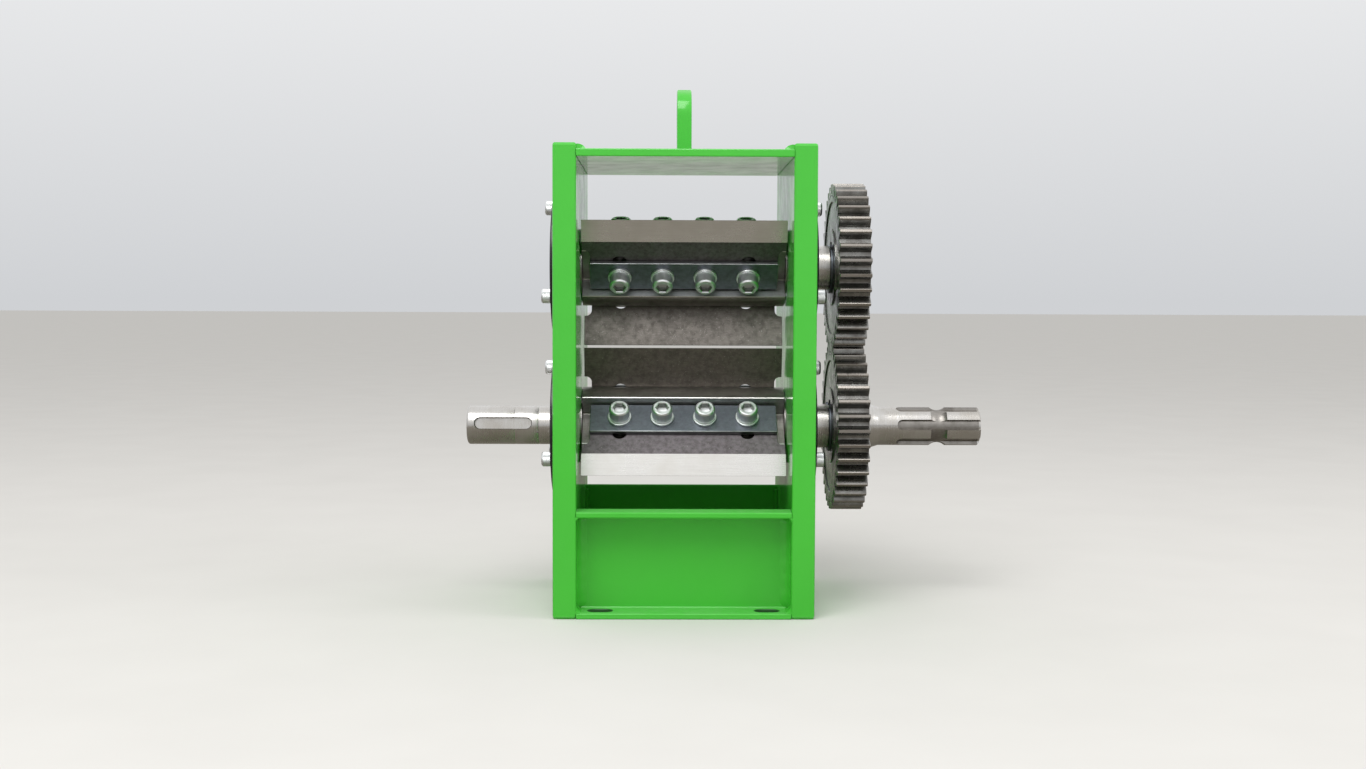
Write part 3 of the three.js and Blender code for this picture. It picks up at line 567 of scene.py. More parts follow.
def weld_beads():
    """Ripples of slightly uneven size in a straight line."""
    tree, names, given = tree_with_inputs("weld_bead_of_ripples", {
        "Ripple": "Object", "Finish": "Material", "Count": "Int", "Pitch": "Float", "Least size": "Float",
        "Seed": "Int"})
    line = add(tree, "GeometryNodeMeshLine", {
        "Count": given["Count"], "Offset": add(tree, "ShaderNodeCombineXYZ", {"Z": given["Pitch"]})})
    size = add(tree, "FunctionNodeRandomValue", {2: given["Least size"], 3: 1.0, "Seed": given["Seed"]},
               data_type="FLOAT")
    across = add(tree, "ShaderNodeCombineXYZ", {"X": size, "Y": size, "Z": 1.0})
    one = add(tree, "GeometryNodeObjectInfo", {"Object": given["Ripple"]}).outputs["Geometry"]
    bead_line = add(tree, "GeometryNodeInstanceOnPoints", {"Points": line, "Instance": one, "Scale": across})
    closed_tree(tree, bead_line, given["Finish"])
    return tree, names


ROWS, BEADS = rows_round_axis(), weld_beads()


def grown(name, tree_and_names, values):
    """The plain mesh that a tree makes from its named inputs."""
    tree, names = tree_and_names
    carrier = object_of(name, bpy.data.meshes.new(name))
    modifier = carrier.modifiers.new(tree.name, "NODES")
    modifier.node_group = tree
    for key, value in values.items():
        modifier[names[key]] = value
    return evaluated(name, carrier)


def rows_on_shaft(name, level, copy, finishes, rows, first_turn=0.0, in_a_row=1, pitch=0.0, line=0.0, hand=1):
    return grown(name, ROWS, {
        "Copy": copy, "Finish": finishes[0], "Recess shade finish": finishes[-1], "In a row": in_a_row,
        "Pitch": pitch * MM, "Line": line * MM, "Rows": rows, "First turn": math.radians(first_turn),
        "Mirrored": float(hand < 0), "Axis depth": SHAFT_PLANE * MM, "Axis height": AXES[level] * MM})


def pattern(name, form, *finishes):
    """One of what a tree repeats."""
    return object_of(name, mesh_of(name, form, finishes))


# Side plates, each with two bearing seats that end in a thin lip towards the knives
def side_plate():
    shell = Shell()
    outline = eased(outline_of((FRONT, 0), (BACK, 0), (BACK, PLATE_TOP), (FRONT, PLATE_TOP)), PLATE_CORNER)
    rims = [(PLATE_EDGE, 0.0), (PLATE_EDGE * 0.3, PLATE_EDGE * 0.3), (0.0, PLATE_EDGE)]
    loops = shell.tube([(inset(outline, d), x) for d, x in from_both_ends(rims, PLATE_INNER, PLATE_OUTER)])
    inner, outer = [loops[0]], [loops[-1]]
    for height in AXES.values():
        steps = [(LIP_BORE + 0.5, PLATE_INNER), (LIP_BORE, PLATE_INNER + 0.5), (LIP_BORE, LIP_END),
                 (BEARING_SEAT, LIP_END), (BEARING_SEAT, PLATE_OUTER - 0.8), (BEARING_SEAT + 0.8, PLATE_OUTER)]
        bore = shell.tube([(circle(r, 72, (SHAFT_PLANE, height), hole=True), x) for r, x in steps])
        inner.append(bore[0])
        outer.append(bore[-1])
    shell.cap(inner)
    shell.cap(outer)
    return moved(shell.form, ALONG_SHAFT)


for side, place in (("right", Matrix.Identity(4)), ("left", MIRRORED)):
    piece(f"plate_{side}", side_plate(), [green_enamel], "frame", "green_paint", f"side_plate_{side}", place=place)


# Welds lie in a corner between two plates. Their legs follow two directions, and they run along the cross product
def bead(name, corner, first, second, legs, length, seed):
    """Overlapping ripples."""
    pitch, across, along = 2.4, 9, 3
    shell = Shell()
    loops = []
    for i in range(along + 1):
        share = i / along
        places = [(-0.6, -0.6, 0.0)]
        for j in range(across + 1):
            t = j / across
            hump = 4 * t * (1 - t)
            lift = (0.80 + 0.16 * hump) * (1 - 0.10 * share)
            u, v = math.cos(t * math.pi / 2) ** 1.35, math.sin(t * math.pi / 2) ** 1.35
            places.append((legs[0] * u * lift, legs[1] * v * lift, pitch * (1.25 * share + 0.6 * hump)))
        loops.append(shell.points(places))
    shell.run(loops)
    ripple = pattern("ripple", shell.form, green_enamel)
    count = int(length / pitch)
    mesh = grown(name, BEADS, {"Ripple": ripple, "Finish": green_enamel, "Count": count, "Pitch": pitch * MM,
                               "Least size": 0.93, "Seed": seed})
    dropped(ripple)
    run = first.cross(second)
    turn = Matrix((first, second, run)).transposed().to_4x4()
    mesh.transform(Matrix.Translation((corner - run * (count * pitch / 2)) * MM) @ turn)
    dressed(name, mesh, "frame", "green_paint")


def smooth_weld(name, corner, first, second, legs, length, start_wave):
    """A hollow fillet with a faint wave along it and sloping ends."""
    shell = Shell()
    loops = []
    leg = legs[0]
    count = max(6, int(length / 1.5))
    for i in range(count + 1):
        along = length * (i / count - 0.5)
        from_end = min(i, count - i) / count * length
        taper = math.sin(math.pi / 2 * min(1.0, 0.35 + from_end / (0.9 * leg)))
        wave = 1 + 0.035 * math.sin(start_wave + along / 2.1) + 0.03 * math.sin(1.7 * start_wave + along / 5.3)
        size = leg * 0.97 * taper * wave / 1.07
        # The hollow face is part of a circle about a point outside it, and its toes meet the plates
        face = [(size * max(0.0, p.x), size * max(0.0, p.y)) for p in arc((1.06, 1.06), 1.06, 268, 182, 10)]
        places = [(-0.6, -0.6), (face[0][0], -0.3), *face[1:-1], (-0.3, face[-1][1])]
        loops.append(shell.points([(*p, along) for p in places]))
    shell.run(loops)
    turn = Matrix((first, second, first.cross(second))).transposed().to_4x4()
    piece(name, shell.form, [green_enamel], "frame", "green_paint", place=Matrix.Translation(corner) @ turn)


def weld_pair(name, weld, corner, first_way, second_way, legs, length, starts):
    """The same weld on both sides. The left one is its mirror image, with the ways and legs swapped."""
    corner, first, second = outline_of(corner, first_way, second_way)
    mirror = Vector((-1, 1, 1))
    weld(f"{name}_right", corner, first, second, legs, length, starts[0])
    weld(f"{name}_left", corner * mirror, second * mirror, first * mirror, legs[::-1], length, starts[1])


INWARD, FORWARD, UP, DOWN, OUTWARD = (-1, 0, 0), (0, -1, 0), (0, 0, 1), (0, 0, -1), (1, 0, 0)

# Roof plate and lifting eye
roof = outline_of((-PLATE_INNER, FRONT), (PLATE_INNER, FRONT), (PLATE_INNER, BACK), (-PLATE_INNER, BACK))
piece("roof_plate", prism(roof, [], ROOF_TOP - ROOF_THICK, ROOF_TOP, 0.9), [green_enamel],
      "frame", "green_paint", "top_plate")
weld_pair("roof_weld", bead, (PLATE_INNER, SHAFT_PLANE, ROOF_TOP), INWARD, UP, (9, 5), 196, (3, 4))

eye_middle = (SHAFT_PLANE, EYE_MIDDLE)
eye_outline = outline_of((SHAFT_PLANE - EYE_RADIUS, ROOF_TOP), (SHAFT_PLANE + EYE_RADIUS, ROOF_TOP),
                         *arc(eye_middle, EYE_RADIUS, 0, 180, 40))
eye_hole = circle(EYE_HOLE, 48, eye_middle, hole=True)
piece("eye_plate", prism(eye_outline, [eye_hole], -EYE_HALF, EYE_HALF, 1.3, steps=3), [green_enamel],
      "frame", "green_paint", "lifting_eye", place=ALONG_SHAFT)
weld_pair("eye_weld", bead, (EYE_HALF, SHAFT_PLANE, ROOF_TOP), UP, OUTWARD, (5, 5), 50, (5, 6))


# Front channel and rear angle, each with two fixing slots
def foot_slot(x, y, top):
    """A cutter for a fixing slot, flared a little at both faces so that its rims are eased."""
    shell = Shell()
    outline = slot((x, y), SLOT_LENGTH, SLOT_WIDTH)
    flares = from_both_ends([(0.8, -1.0), (0.8, 0.0), (0.0, 0.8)], 0.0, top)
    # The slot's walls take the second finish: dark green, a painted shade inside the slot
    loops = shell.tube([(inset(outline, -grow), z) for grow, z in flares], finish=1)
    shell.cap([loops[0]])
    shell.cap([loops[-1]])
    return shell.form


def slotted_section(name, outline, slots_at, wall, node):
    form = moved(prism(eased(outline, 1.0), [], -PLATE_INNER, PLATE_INNER, 0.3), ALONG_SHAFT)
    form = cut(form, *[foot_slot(x, slots_at, wall) for x in (-SLOT_X, SLOT_X)])
    piece(name, form, [green_enamel, slot_shade_enamel], "frame", "green_paint", node)


bend_y, bend_top = CHANNEL_BACK - CHANNEL_BEND, CHANNEL_HEIGHT - CHANNEL_BEND
bend_inside = CHANNEL_BEND - CHANNEL_WALL
slotted_section("folded_channel", outline_of(
    (FRONT, 0), *arc((bend_y, CHANNEL_BEND), CHANNEL_BEND, -90, 0, 12),
    *arc((bend_y, bend_top), CHANNEL_BEND, 0, 90, 12),
    (FRONT, CHANNEL_HEIGHT), (FRONT, CHANNEL_HEIGHT - CHANNEL_WALL),
    *arc((bend_y, bend_top), bend_inside, 90, 0, 8),
    *arc((bend_y, CHANNEL_BEND), bend_inside, 0, -90, 8), (FRONT, CHANNEL_WALL)),
    FRONT_SLOTS, CHANNEL_WALL, "front_channel")
foot_middle, foot_length = (FRONT + bend_y) / 2, bend_y - FRONT
weld_pair("channel_weld", smooth_weld, (PLATE_INNER, CHANNEL_BACK - CHANNEL_WALL, CHANNEL_HEIGHT / 2),
          FORWARD, INWARD, (10, 10), 80, (0.3, 2.1))
weld_pair("foot_weld", smooth_weld, (PLATE_INNER, foot_middle, CHANNEL_WALL),
          UP, INWARD, (7, 7), foot_length - 1, (4.0, 5.2))
weld_pair("lip_weld", smooth_weld, (PLATE_INNER, FRONT + 5, CHANNEL_HEIGHT - CHANNEL_WALL),
          INWARD, DOWN, (5, 5), 9, (1.2, 3.3))

angle_inside = ANGLE_FACE + ANGLE_WALL
slotted_section("foot_angle", outline_of(
    (ANGLE_FACE, 0), (BACK, 0), (BACK, ANGLE_WALL),
    *arc((angle_inside + ANGLE_ROUND, ANGLE_WALL + ANGLE_ROUND), ANGLE_ROUND, 270, 180, 8),
    (angle_inside, ANGLE_HEIGHT), (ANGLE_FACE, ANGLE_HEIGHT)), REAR_SLOTS, ANGLE_WALL, "rear_angle")
weld_pair("angle_weld", bead, (PLATE_INNER, ANGLE_FACE, ANGLE_HEIGHT / 2), FORWARD, INWARD, (4, 4), 91, (9, 10))


# Socket-head screws and bolts: a knurled head with a chamfered rim and a hexagon socket, along Z
def socket_head(radius, low, high, across_flats, depth, shank, shank_low, ribs):
    shell = Shell()

    def knurled(outer, rib):
        return [polar(outer - rib * (i % 2), math.pi * i / ribs) for i in range(ribs * 2)]

    head = shell.tube([(knurled(radius - 0.5, 0), low), (knurled(radius, 0.2), low + 0.6),
                       (knurled(radius, 0.2), high - 1.5), (knurled(radius - 1.0, 0), high - 0.25),
                       (knurled(radius - 1.5, 0), high)])
    hexagon = circle(across_flats / math.sqrt(3), 6, hole=True)
    socket = [shell.loop(outline, z) for outline, z in
              (([p * 1.09 for p in hexagon], high), (hexagon, high - 0.6), (hexagon, high - depth))]
    shell.wall(socket[0], socket[1])
    # The deeper walls of the socket take the second finish, darker: painted shade
    shell.wall(socket[1], socket[2], finish=1)
    shell.fan(socket[2], shell.points([(0, 0, high - depth - 1.2)])[0])
    shell.cap([head[-1], socket[0]])
    neck = shell.tube([(circle(shank, 24), low), (circle(shank, 24), shank_low + 0.6),
                       (circle(shank - 0.6, 24), shank_low)])
    shell.cap([head[0], neck[0]])
    shell.cap([neck[-1]])
    return shell.form


# Bearing covers with their screws, and the bearings' shields behind them
for (level, side), bore in COVER_BORES.items():
    seat = on_axis(level) @ FACING[side]
    # Where no shaft comes out, the cover is closed
    cover = turned([(PLATE_OUTER, bore), (PLATE_OUTER, COVER_RADIUS), (COVER_FACE, COVER_RADIUS),
                    (COVER_FACE, bore)], 128, 0.9, ring=bore > 0)
    piece(f"cover_{level}_{side}", cover, [black_enamel], "frame", "black_paint",
          f"{level}_bearing_cover_{side}", place=seat)
    head = socket_head(radius=6.5, low=COVER_FACE, high=COVER_FACE + 8.3, across_flats=6, depth=4,
                       shank=4, shank_low=COVER_FACE - 0.1, ribs=40)
    head.transform(FACING[side] @ Matrix.Translation((0, 0, COVER_SCREW_CIRCLE)) @ STAND_OUT)
    screw = pattern("cover_screw", head, bright_zinc, socket_shade_steel)
    name = f"cover_screws_{level}_{side}"
    dressed(name, rows_on_shaft(name, level, screw, [bright_zinc, socket_shade_steel], COVER_SCREWS), "frame", "zinc",
            *[f"{level}_cover_screw_{side}_{i + 1}" for i in range(COVER_SCREWS)])
    dropped(screw)
    shield = turned([(SHIELD_IN, SHIELD_BORE), (SHIELD_IN, SHIELD_RIM), (SHIELD_OUT, SHIELD_RIM),
                     (SHIELD_OUT, SHIELD_BORE)], ease=0.2, ring=True)
    piece(f"shield_{level}_{side}", shield, [bearing_steel], "frame", "bearing_steel", place=seat)


# Rotor bodies: a round bar with three pockets milled along it, one piece with its shaft
def body_section(level):
    """Its section in Y and Z, with a small round in each pocket's corner."""
    wall_out = math.sqrt(BODY_RADIUS ** 2 - POCKET_BACK ** 2)
    floor_end = math.degrees(math.asin(FLAT / BODY_RADIUS))
    wall_end = 90 + math.degrees(math.asin(POCKET_BACK / BODY_RADIUS))
    step = 360 / POCKETS
    # The wall stops a little short of the round, so that the edge between them can be eased
    pocket = outline_of(
        *arc((-POCKET_BACK + POCKET_ROUND, FLAT + POCKET_ROUND), POCKET_ROUND, 270, 180, 5),
        (-POCKET_BACK, wall_out - 0.75), *arc((0, 0), BODY_RADIUS, wall_end, step + floor_end, 14))
    points = []
    for i in range(POCKETS):
        spin = Matrix.Rotation(math.radians(step * i), 2)
        points += [spin @ p for p in pocket]
    hand, first = HANDS[level], math.radians(KNIFE_TURNS[level][0])
    placed = [Matrix.Rotation(first, 2) @ Vector((p.x, hand * p.y)) for p in points]
    return placed if hand > 0 else placed[::-1]


def pocketed_bar(level):
    """The rotor body. Its pocket walls are painted paler as a painted light, and its pocket edges paler still, partly
    rubbed bright and partly a painted highlight.
    """
    form = prism(eased(body_section(level), 0.6, least=45), [], -BODY_HALF, BODY_HALF, 0.4)
    for face in form.faces:
        face.normal_update()
        middle = face.calc_center_median()
        middle.z = 0
        outward = abs(face.normal.dot(middle.normalized())) if middle.length > 1 else 0
        if abs(face.normal.z) < 0.1:
            # Eased pocket edges: the pale ground finish, partly rubbed bright and partly a painted highlight
            if middle.length > BODY_RADIUS - 1.5 and 0.6 < outward < 0.97:
                face.material_index = 2
            # Pocket walls: the paler finish, a painted light
            elif middle.length > FLAT + 2 and outward < 0.35:
                face.material_index = 1
    return moved(form, ALONG_SHAFT)


def shaft_grooves():
    profile, floor = [], SEAT - RING_GROOVE_DEPTH
    for start in RING_STATIONS:
        first, last = start - RING_PLAY, start + RING_THICK + RING_PLAY
        profile += [(first, SEAT), (first, floor), (last, floor), (last, SEAT)]
    return profile


def collars():
    """The collars at the ends of the rotor body, with a core that the pocketed bar hides."""
    half = [(COLLAR_END, SEAT), (COLLAR_END, COLLAR_RADIUS), (BODY_HALF, COLLAR_RADIUS), (BODY_HALF, CORE_RADIUS)]
    return [(-x, r) for x, r in half] + half[::-1]


def centre_hole(station, inward):
    """The lathe centre's cone in the end of a shaft."""
    bottom = station - inward * 5.5
    return [(bottom, 0), (bottom, 1.6), (station - inward * 3.5, 1.6), (station, 4.2)]


def spline_stub():
    """Six teeth left by milled gaps with round ends, a locking groove and a chamfered end."""
    start, end, chamfer = SPLINE_START, SPLINE_END, 1.5
    groove_middle, groove_radius, groove_depth = end - 38, 11.0, 2.8
    gap_start, gap_round = end - 76, 5.0
    cone_start, cone_end = 170, 178

    def outside(x):
        if x < cone_start:
            return SEAT
        if x < cone_end:
            return SEAT + (SPLINE - SEAT) * (x - cone_start) / (cone_end - cone_start)
        radius = SPLINE
        reach = groove_radius ** 2 - (x - groove_middle) ** 2
        if reach > 0:
            radius = min(radius, SPLINE + groove_radius - groove_depth - math.sqrt(reach))
        return min(radius, SPLINE - max(0.0, x - (end - chamfer)))

    def gap_share(x):
        return math.sqrt(max(0.002, 1 - max(0.0, (gap_start + gap_round - x) / gap_round) ** 2))

    stations = [start, start + 0.1, 166, 169.9, 170.1, 172, 174, 176, 177.9, 178.1, 186, 193.5]
    stations += [gap_start + gap_round * share for share in (0, 0.01, 0.06, 0.14, 0.25, 0.4, 0.58, 0.78, 1)]
    stations += [204, 208, 213, 218, 222.5]
    stations += [groove_middle + 7.4 * math.sin(math.pi / 2 * i / 12) for i in range(-12, 13)]
    stations += [241.5, 248, 255, 262, 268.4, 268.6, 269.3, end]
    shell = Shell()
    loops = []
    for x in sorted(set(stations)):
        top = outside(x)
        low = min(top, SPLINE_ROOT) if x > gap_start else top
        half_top, half_low = [math.pi / 6 - gap_share(x) * (math.pi / 6 - math.asin(SPLINE_TOOTH / 2 / radius))
                              for radius in (top, low)]
        places = []
        for tooth in range(6):
            middle = math.radians(SPLINE_TURN + 30 + 60 * tooth)
            places += [(x, *polar(top, middle + half_top * (i / 4 - 1))) for i in range(9)]
            gap = math.pi / 3 - 2 * half_low
            places += [(x, *polar(low, middle + half_low + gap * i / 8)) for i in range(9)]
        loops.append(shell.points(places))
    shell.walls(loops)
    shell.fan(loops[0], shell.points([(start, 0, 0)])[0])
    rim = [Vector((v.co.y, v.co.z)).normalized() for v in loops[-1]]
    *levels, (bottom, _) = centre_hole(end, 1)[::-1]
    cone = [shell.points([(x, r * p.x, r * p.y) for p in rim]) for x, r in levels]
    shell.walls([loops[-1], *cone])
    shell.fan(cone[-1], shell.points([(bottom, 0, 0)])[0])
    for face in shell.form.faces:
        middle = face.calc_center_median()
        if gap_start < middle.x < end - chamfer and middle.yz.length < SPLINE - 0.05:
            face.material_index = 2
    return shell.form


def stub_keyway():
    """A cutter for the keyway of the left stub, cut with an end mill. Its rim is eased, and the darker steel on it is a
    painted shade line.
    """
    ease = 0.7
    middle = (KEYWAY_MIDDLE, 0)
    narrow = slot(middle, KEYWAY_LENGTH, KEYWAY_WIDTH)
    wide = slot(middle, KEYWAY_LENGTH + 2 * ease, KEYWAY_WIDTH + 2 * ease)
    shell = Shell()
    loops = [shell.loop(outline, z) for outline, z in (
        (narrow, STUB - 5), (narrow, STUB - 1.5), (wide, STUB - 0.8), (wide, STUB + 3))]
    shell.walls(loops[:2])
    # The eased rim takes the second finish, the darker hardened steel: painted shade along the keyway's edge
    shell.walls(loops[1:], finish=1)
    shell.cap([loops[0]])
    shell.cap([loops[-1]])
    return moved(shell.form, Matrix.Rotation(math.radians(KEYWAY_TURN - 90), 4, "X"))


def lower_shaft_form():
    profile = centre_hole(STUB_END, -1) + [(STUB_END, STUB - 1.5), (STUB_END + 1.5, STUB)]
    for line in STUB_LINES:
        profile += [(line - 0.3, STUB), (line, STUB - 0.35), (line + 0.3, STUB)]
    profile += [(STUB_START, STUB), (STUB_START, SEAT)] + collars() + shaft_grooves() + [(164.5, SEAT), (164.5, 0)]
    return gathered(cut(turned(profile, 128, 0.35), stub_keyway()), spline_stub())


def upper_shaft_form():
    profile = centre_hole(STUB_START, -1) + [(STUB_START, SEAT - 1.5), (STUB_START + 1.5, SEAT)]
    profile += collars() + shaft_grooves() + [(UPPER_END - 1.5, SEAT), (UPPER_END, SEAT - 1.5)]
    profile += centre_hole(UPPER_END, 1)[::-1]
    return turned(profile, 128, 0.35)


for level, form in (("lower", lower_shaft_form()), ("upper", upper_shaft_form())):
    body, axis = f"{level}_rotor", on_axis(level)
    piece(f"shaft_{level}", form, [turned_steel, hardened_steel_and_keyway_shade, milled_steel], body, "turned_steel",
          f"{level}_shaft", place=axis)
    piece(f"pocketed_bar_{level}", pocketed_bar(level), [milled_steel, pocket_wall_painted_light, ground_steel_and_edge_highlight],
          body, "turned_steel", place=axis)


# Knives: slotted plates with a narrow heel and a bevel ground on the outer face
def knife_form():
    across, up = HEEL_HALF + SHOULDER_ROUND, SHOULDER - SHOULDER_ROUND
    outline = outline_of(
        (-HEEL_HALF, 0), (HEEL_HALF, 0), *arc((across, up), SHOULDER_ROUND, 180, 90, 6),
        (KNIFE_HALF, SHOULDER), (KNIFE_HALF, KNIFE_REACH), (-KNIFE_HALF, KNIFE_REACH), (-KNIFE_HALF, SHOULDER),
        *arc((-across, up), SHOULDER_ROUND, 90, 0, 6))
    slots = [slot((x, (KNIFE_SLOT_START + end) / 2), end - KNIFE_SLOT_START, KNIFE_SLOT_WIDTH, 90, hole=True)
             for x, end in zip(BOLT_PLACES, KNIFE_SLOT_ENDS)]
    form = prism(eased(outline, 0.4), slots, KNIFE_BASE, KNIFE_TOP, 0.35, top_finish=2)
    fall = KNIFE_TOP - KNIFE_BASE - EDGE_LAND
    bmesh.ops.bisect_plane(form, geom=form.verts[:] + form.edges[:] + form.faces[:], clear_outer=True,
                           plane_co=(0, KNIFE_REACH - BEVEL, KNIFE_TOP), plane_no=Vector((0, fall, BEVEL)).normalized())
    open_edges = [edge for edge in form.edges if len(edge.link_faces) == 1]
    for face in bmesh.ops.holes_fill(form, edges=open_edges, sides=0)["faces"]:
        face.material_index = 1
    return form


def clamp_form():
    outline = outline_of((-HEEL_HALF, CLAMP_BACK), (HEEL_HALF, CLAMP_BACK),
                         (HEEL_HALF, CLAMP_FRONT), (-HEEL_HALF, CLAMP_FRONT))
    holes = [circle(CLAMP_HOLE, 28, (x, BOLT_LINE), hole=True) for x in BOLT_PLACES]
    return prism(eased(outline, 0.8), holes, CLAMP_BASE, CLAMP_TOP, 0.5, edge_finish=1, side_finish=1)


bolt = pattern("bolt", socket_head(radius=9, low=WASHER_TOP, high=HEAD_TOP, across_flats=10, depth=6,
                                   shank=6, shank_low=KNIFE_BASE - 0.25, ribs=48), bright_zinc, socket_shade_steel)
washer = pattern("washer", prism(circle(WASHER_RADIUS, 48), [circle(WASHER_HOLE, 32, hole=True)],
                                 CLAMP_TOP, WASHER_TOP, 0.35), bright_zinc)
for level in AXES:
    body = f"{level}_rotor"
    for i, turn in enumerate(KNIFE_TURNS[level], start=1):
        seat = on_seat(level, turn)
        piece(f"blade_{level}_{i}", knife_form(), [hardened_steel_and_keyway_shade, ground_steel_and_edge_highlight, blasted_steel],
              body, "knife_steel", f"{level}_knife_{i}", place=seat)
        piece(f"clamp_bar_{level}_{i}", clamp_form(), [black_oxide, worn_oxide],
              body, "blued_steel", f"{level}_knife_clamp_{i}", place=seat)
    for kind, fastener in (("bolts", bolt), ("washers", washer)):
        name = f"{kind}_{level}"
        dressed(name, rows_on_shaft(
            name, level, fastener, [bright_zinc, socket_shade_steel], len(KNIFE_TURNS[level]), KNIFE_TURNS[level][0],
            in_a_row=BOLT_COUNT, pitch=BOLT_PITCH, line=BOLT_LINE, hand=HANDS[level]), body, "zinc")
dropped(bolt, washer)


# Gears: one involute tooth repeated round a turned web and hub
def tooth_profile():
    """One tooth and half of the gap on each side, anticlockwise."""
    base = PITCH_RADIUS * math.cos(math.radians(PRESSURE_ANGLE))

    def involute(radius):
        lean = math.acos(min(1.0, base / radius))
        return math.tan(lean) - lean

    half_tooth = (math.pi * MODULE / 2 - BACKLASH) / 2 / PITCH_RADIUS
    flank = []
    for i in range(8):
        radius = GEAR_ROOT + 0.9 + (GEAR_TIP - 0.35 - GEAR_ROOT - 0.9) * i / 7
        flank.append((radius, half_tooth + involute(PITCH_RADIUS) - involute(max(radius, base))))
    foot = flank[0][1]
    root = [(GEAR_ROOT, math.pi / TEETH), (GEAR_ROOT, foot + 0.016), (GEAR_ROOT + 0.12, foot + 0.008),
            (GEAR_ROOT + 0.42, foot + 0.0025)]
    half = root + flank + [(GEAR_TIP, flank[-1][1] - 0.0045)]
    turns = [(r, -a) for r, a in half] + [(GEAR_TIP, 0.0)] + [(r, a) for r, a in reversed(half)]
    return [polar(r, a) for r, a in turns]


def tooth_sector():
    """A sector of the toothed ring, open at its two cuts, which meet those of its neighbours."""
    profile = tooth_profile()
    pitch = 2 * math.pi / TEETH
    before = Matrix.Rotation(-pitch, 2) @ profile[-2]
    after = Matrix.Rotation(pitch, 2) @ profile[1]
    small = inset([before] + profile + [after], TOOTH_CHAMFER)[1:-1]
    for i in (0, -1):
        small[i] = profile[i].normalized() * (GEAR_ROOT - TOOTH_CHAMFER)
    inner = [p.normalized() * GEAR_RIM for p in profile]
    shell = Shell()
    levels = [(inner, GEAR_IN), (small, GEAR_IN), (profile, GEAR_IN + TOOTH_CHAMFER),
              (profile, GEAR_OUT - TOOTH_CHAMFER), (small, GEAR_OUT), (inner, GEAR_OUT)]
    loops = [shell.loop(outline, x) for outline, x in levels]
    shell.walls(loops + loops[:1], closed=False)
    return moved(shell.form, ALONG_SHAFT)


def gear_web():
    """The hub with its keyway, the shallow recess between two turned grooves and the rim under the teeth."""
    shell = Shell()
    side = math.degrees(math.asin(HUB_SLOT_HALF / GEAR_BORE))
    hole = outline_of((-HUB_SLOT_HALF, HUB_SLOT_TOP), (HUB_SLOT_HALF, HUB_SLOT_TOP),
                      *arc((0, 0), GEAR_BORE, 90 - side, -270 + side, 64))
    hub, recess, shallow, deep = HUB_RADIUS, RECESS_RADIUS, RECESS_DEPTH, FACE_GROOVE_DEPTH
    steps = [(hub - 0.3, 0.0), (hub, 0.3), (hub, deep), (hub + 1.0, deep), (hub + 1.3, shallow),
             (recess - 1.5, shallow), (recess - 1.2, deep), (recess, deep), (recess, 0.3), (recess + 0.3, 0.0),
             (GEAR_RIM + 0.6, 0.0)]
    loops = shell.tube([(circle(r, 96), x) for r, x in from_both_ends(steps, GEAR_IN, GEAR_OUT)])
    bores = shell.tube([(inset(hole, d), x)
                        for d, x in from_both_ends([(0.5, 0.0), (0.0, 0.5)], GEAR_IN, GEAR_OUT)])
    shell.cap([loops[0], bores[0]])
    shell.cap([loops[-1], bores[-1]])
    return moved(shell.form, ALONG_SHAFT)


def retaining_ring_form(start):
    """A spring ring that widens away from its gap, with an eyed lug at each end."""
    first, last, count = 120, 420, 90
    outer_points, inner_points = [], []
    for i in range(count + 1):
        turn = first + (last - first) * i / count
        wide = 2.7 + 1.3 * (0.5 - 0.5 * math.cos(2 * math.pi * i / count))
        lug = 2.6 * max(0.0, min(1.0, (13 - min(turn - first, last - turn)) / 3))
        outer_points.append(polar(RING_INNER + wide + lug, math.radians(turn)))
        inner_points.append(polar(RING_INNER, math.radians(turn)))
    eyes = [circle(RING_EYE, 16, polar(RING_EYE_CIRCLE, math.radians(turn)), hole=True)
            for turn in (first + 6, last - 6)]
    return moved(prism(outer_points + inner_points[::-1], eyes, start, start + RING_THICK, 0.15), ALONG_SHAFT)


key_outline = eased(outline_of((-KEY_HALF, KEY_BOTTOM), (KEY_HALF, KEY_BOTTOM), (KEY_HALF, KEY_TOP),
                               (-KEY_HALF, KEY_TOP)), 0.5)
tooth = pattern("tooth", tooth_sector(), gear_steel)
for level in AXES:
    body, axis = f"{level}_rotor", on_axis(level)
    teeth = rows_on_shaft(f"gear_{level}", level, tooth, [gear_steel], TEETH, FIRST_TOOTH[level])
    web = mesh_of("web", gear_web(), [], axis)
    whole = bmesh.new()
    whole.from_mesh(teeth)
    whole.from_mesh(web)
    shaded(whole)
    whole.to_mesh(teeth)
    whole.free()
    bpy.data.meshes.remove(web)
    dressed(f"gear_{level}", teeth, body, "gear_steel", f"{level}_gear")
    piece(f"key_{level}", moved(prism(key_outline, [], KEY_START, KEY_END, 0.4), ALONG_SHAFT), [turned_steel],
          body, "turned_steel", f"{level}_gear_key", place=axis)
    for i, start in enumerate(RING_STATIONS, start=1):
        piece(f"spring_ring_{level}_{i}", retaining_ring_form(start), [black_oxide],
              body, "ring_steel", f"{level}_retaining_ring_{i}", place=axis)
dropped(tooth)

# The bearings keep their solids, with a better finish
for name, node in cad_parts.items():
    if "_ring_" in name and "bearing" in name:
        node.data.materials.clear()
        node.data.materials.append(bearing_steel)


# Pale floor, soft light and the photograph's camera
def board(name, finish, place):
    """A flat board of the studio, a metre square before it is placed."""
    form = bmesh.new()
    bmesh.ops.create_grid(form, x_segments=1, y_segments=1, size=0.5)
    form.transform(place)
    made = object_of(name, bpy.data.meshes.new(name))
    form.to_mesh(made.data)
    form.free()
    made.data.materials.append(finish)
    return made


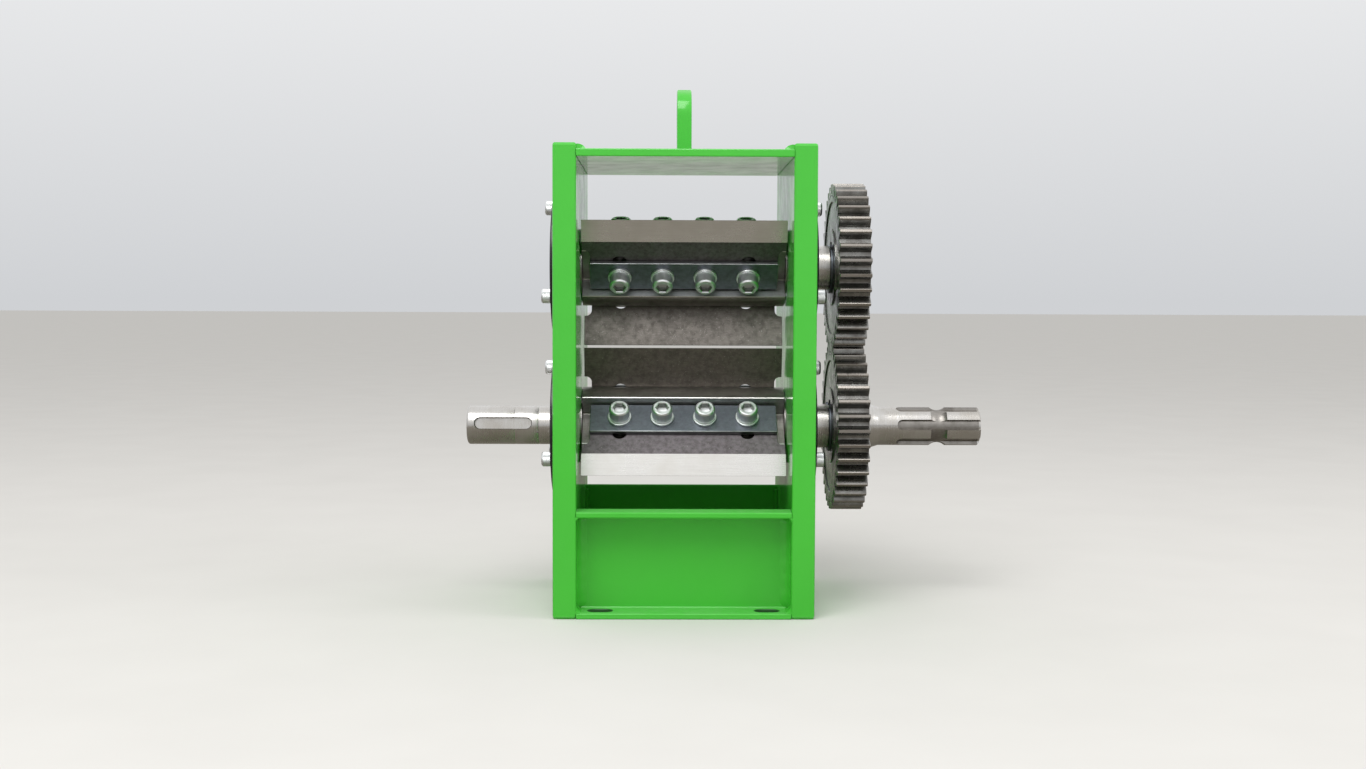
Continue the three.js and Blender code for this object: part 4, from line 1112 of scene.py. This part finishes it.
def pale_floor():
    # Matt painted board: even and pale, with the faintest mottling
    finish, tree, surface, place = new_finish("pale_matt_board")
    mottle = add(tree, "ShaderNodeTexNoise", {"Vector": place, "Scale": per_mm(120), "Detail": 5.0})
    tone = add(tree, "ShaderNodeMix", {"Factor": mottle, 6: "#DCDAD6", 7: "#D5D3CF"}, data_type="RGBA")
    feed(tree, surface, {"Base Color": tone, "Roughness": 0.7, "Specular IOR Level": 0.0})
    floor = board("floor", finish, Matrix.Diagonal((60, 60, 1, 1)))


def grey_card(middle, width, depth):
    """A grey board on the floor. Only reflections see it, and it gives bare steel its contrast."""
    finish, tree, surface, place = new_finish("grey_board")
    feed(tree, surface, {"Base Color": "#7C766C", "Roughness": 0.8})
    card = board("grey_card", finish, Matrix.Translation(middle) @ Matrix.Diagonal((width, depth, 1, 1)))
    card.visible_camera = False
    card.visible_diffuse = False
    card.visible_shadow = False


def soft_lamp(name, place, target, size, power):
    lamp = bpy.data.lights.new(name, "AREA")
    lamp.shape = "SQUARE"
    lamp.size = size
    lamp.energy = power
    made = object_of(name, lamp)
    made.location = place
    made.rotation_euler = (Vector(target) - Vector(place)).to_track_quat("-Z", "Y").to_euler()


def backdrop():
    """A pale studio whose light is weaker than its look, so that colours render as they are written."""
    world = bpy.data.worlds.new("studio")
    bpy.context.scene.world = world
    world.use_nodes = True
    sky = world.node_tree
    sky.nodes.clear()
    direction = add(sky, "ShaderNodeTexCoord").outputs["Generated"]
    height = add(sky, "ShaderNodeSeparateXYZ", {0: direction}).outputs["Z"]
    glow = stops(add(sky, "ShaderNodeValToRGB", {"Fac": height}), (0.0, colour("#CFD1D4")), (0.38, colour("#FFFFFF")))
    light = add(sky, "ShaderNodeBackground", {"Color": glow, "Strength": 0.8})
    seen = add(sky, "ShaderNodeBackground", {"Color": glow, "Strength": 1.0})
    rays = add(sky, "ShaderNodeLightPath").outputs
    either = add(sky, "ShaderNodeMath", {0: rays["Is Camera Ray"], 1: rays["Is Glossy Ray"]}, operation="MAXIMUM")
    any_ray = add(sky, "ShaderNodeMath", {0: either, 1: rays["Is Transmission Ray"]}, operation="MAXIMUM")
    add(sky, "ShaderNodeOutputWorld", {
        "Surface": add(sky, "ShaderNodeMixShader", {"Fac": any_ray, 1: light, 2: seen})})


pale_floor()
backdrop()
soft_lamp("soft_box_above", (-0.5, -1.4, 2.4), (0, 0.05, 0.22), 1.6, 40)
soft_lamp("soft_box_side", (2.2, -0.6, 1.4), (0, 0.05, 0.2), 1.2, 10)
grey_card((0, -0.5, 0.003), 3.6, 3.8)

FOCAL_LENGTH, PHOTO_WIDTH = 1538.6, 1366  # in pixels
CAMERA_PLACE, YAW, PITCH, ROLL = (-0.01814, -1.31594, 0.27333), 0.0129, 0.0552, -0.0039
lens = bpy.data.cameras.new("camera")
lens.sensor_fit = "HORIZONTAL"
lens.sensor_width = 36.0
lens.lens = FOCAL_LENGTH / PHOTO_WIDTH * lens.sensor_width
lens.clip_start, lens.clip_end = 0.05, 100.0
camera = object_of("camera", lens)
ahead = Vector((math.sin(YAW) * math.cos(PITCH), math.cos(YAW) * math.cos(PITCH), -math.sin(PITCH)))
level_right = Vector((math.cos(YAW), -math.sin(YAW), 0))
level_down = ahead.cross(level_right)
turned_right = math.cos(ROLL) * level_right + math.sin(ROLL) * level_down
turned_down = -math.sin(ROLL) * level_right + math.cos(ROLL) * level_down
camera.matrix_world = (Matrix.Translation(CAMERA_PLACE)
                       @ Matrix((turned_right, -turned_down, -ahead)).transposed().to_4x4())
bpy.context.scene.camera = camera
bpy.context.scene.view_settings.view_transform = "Standard"
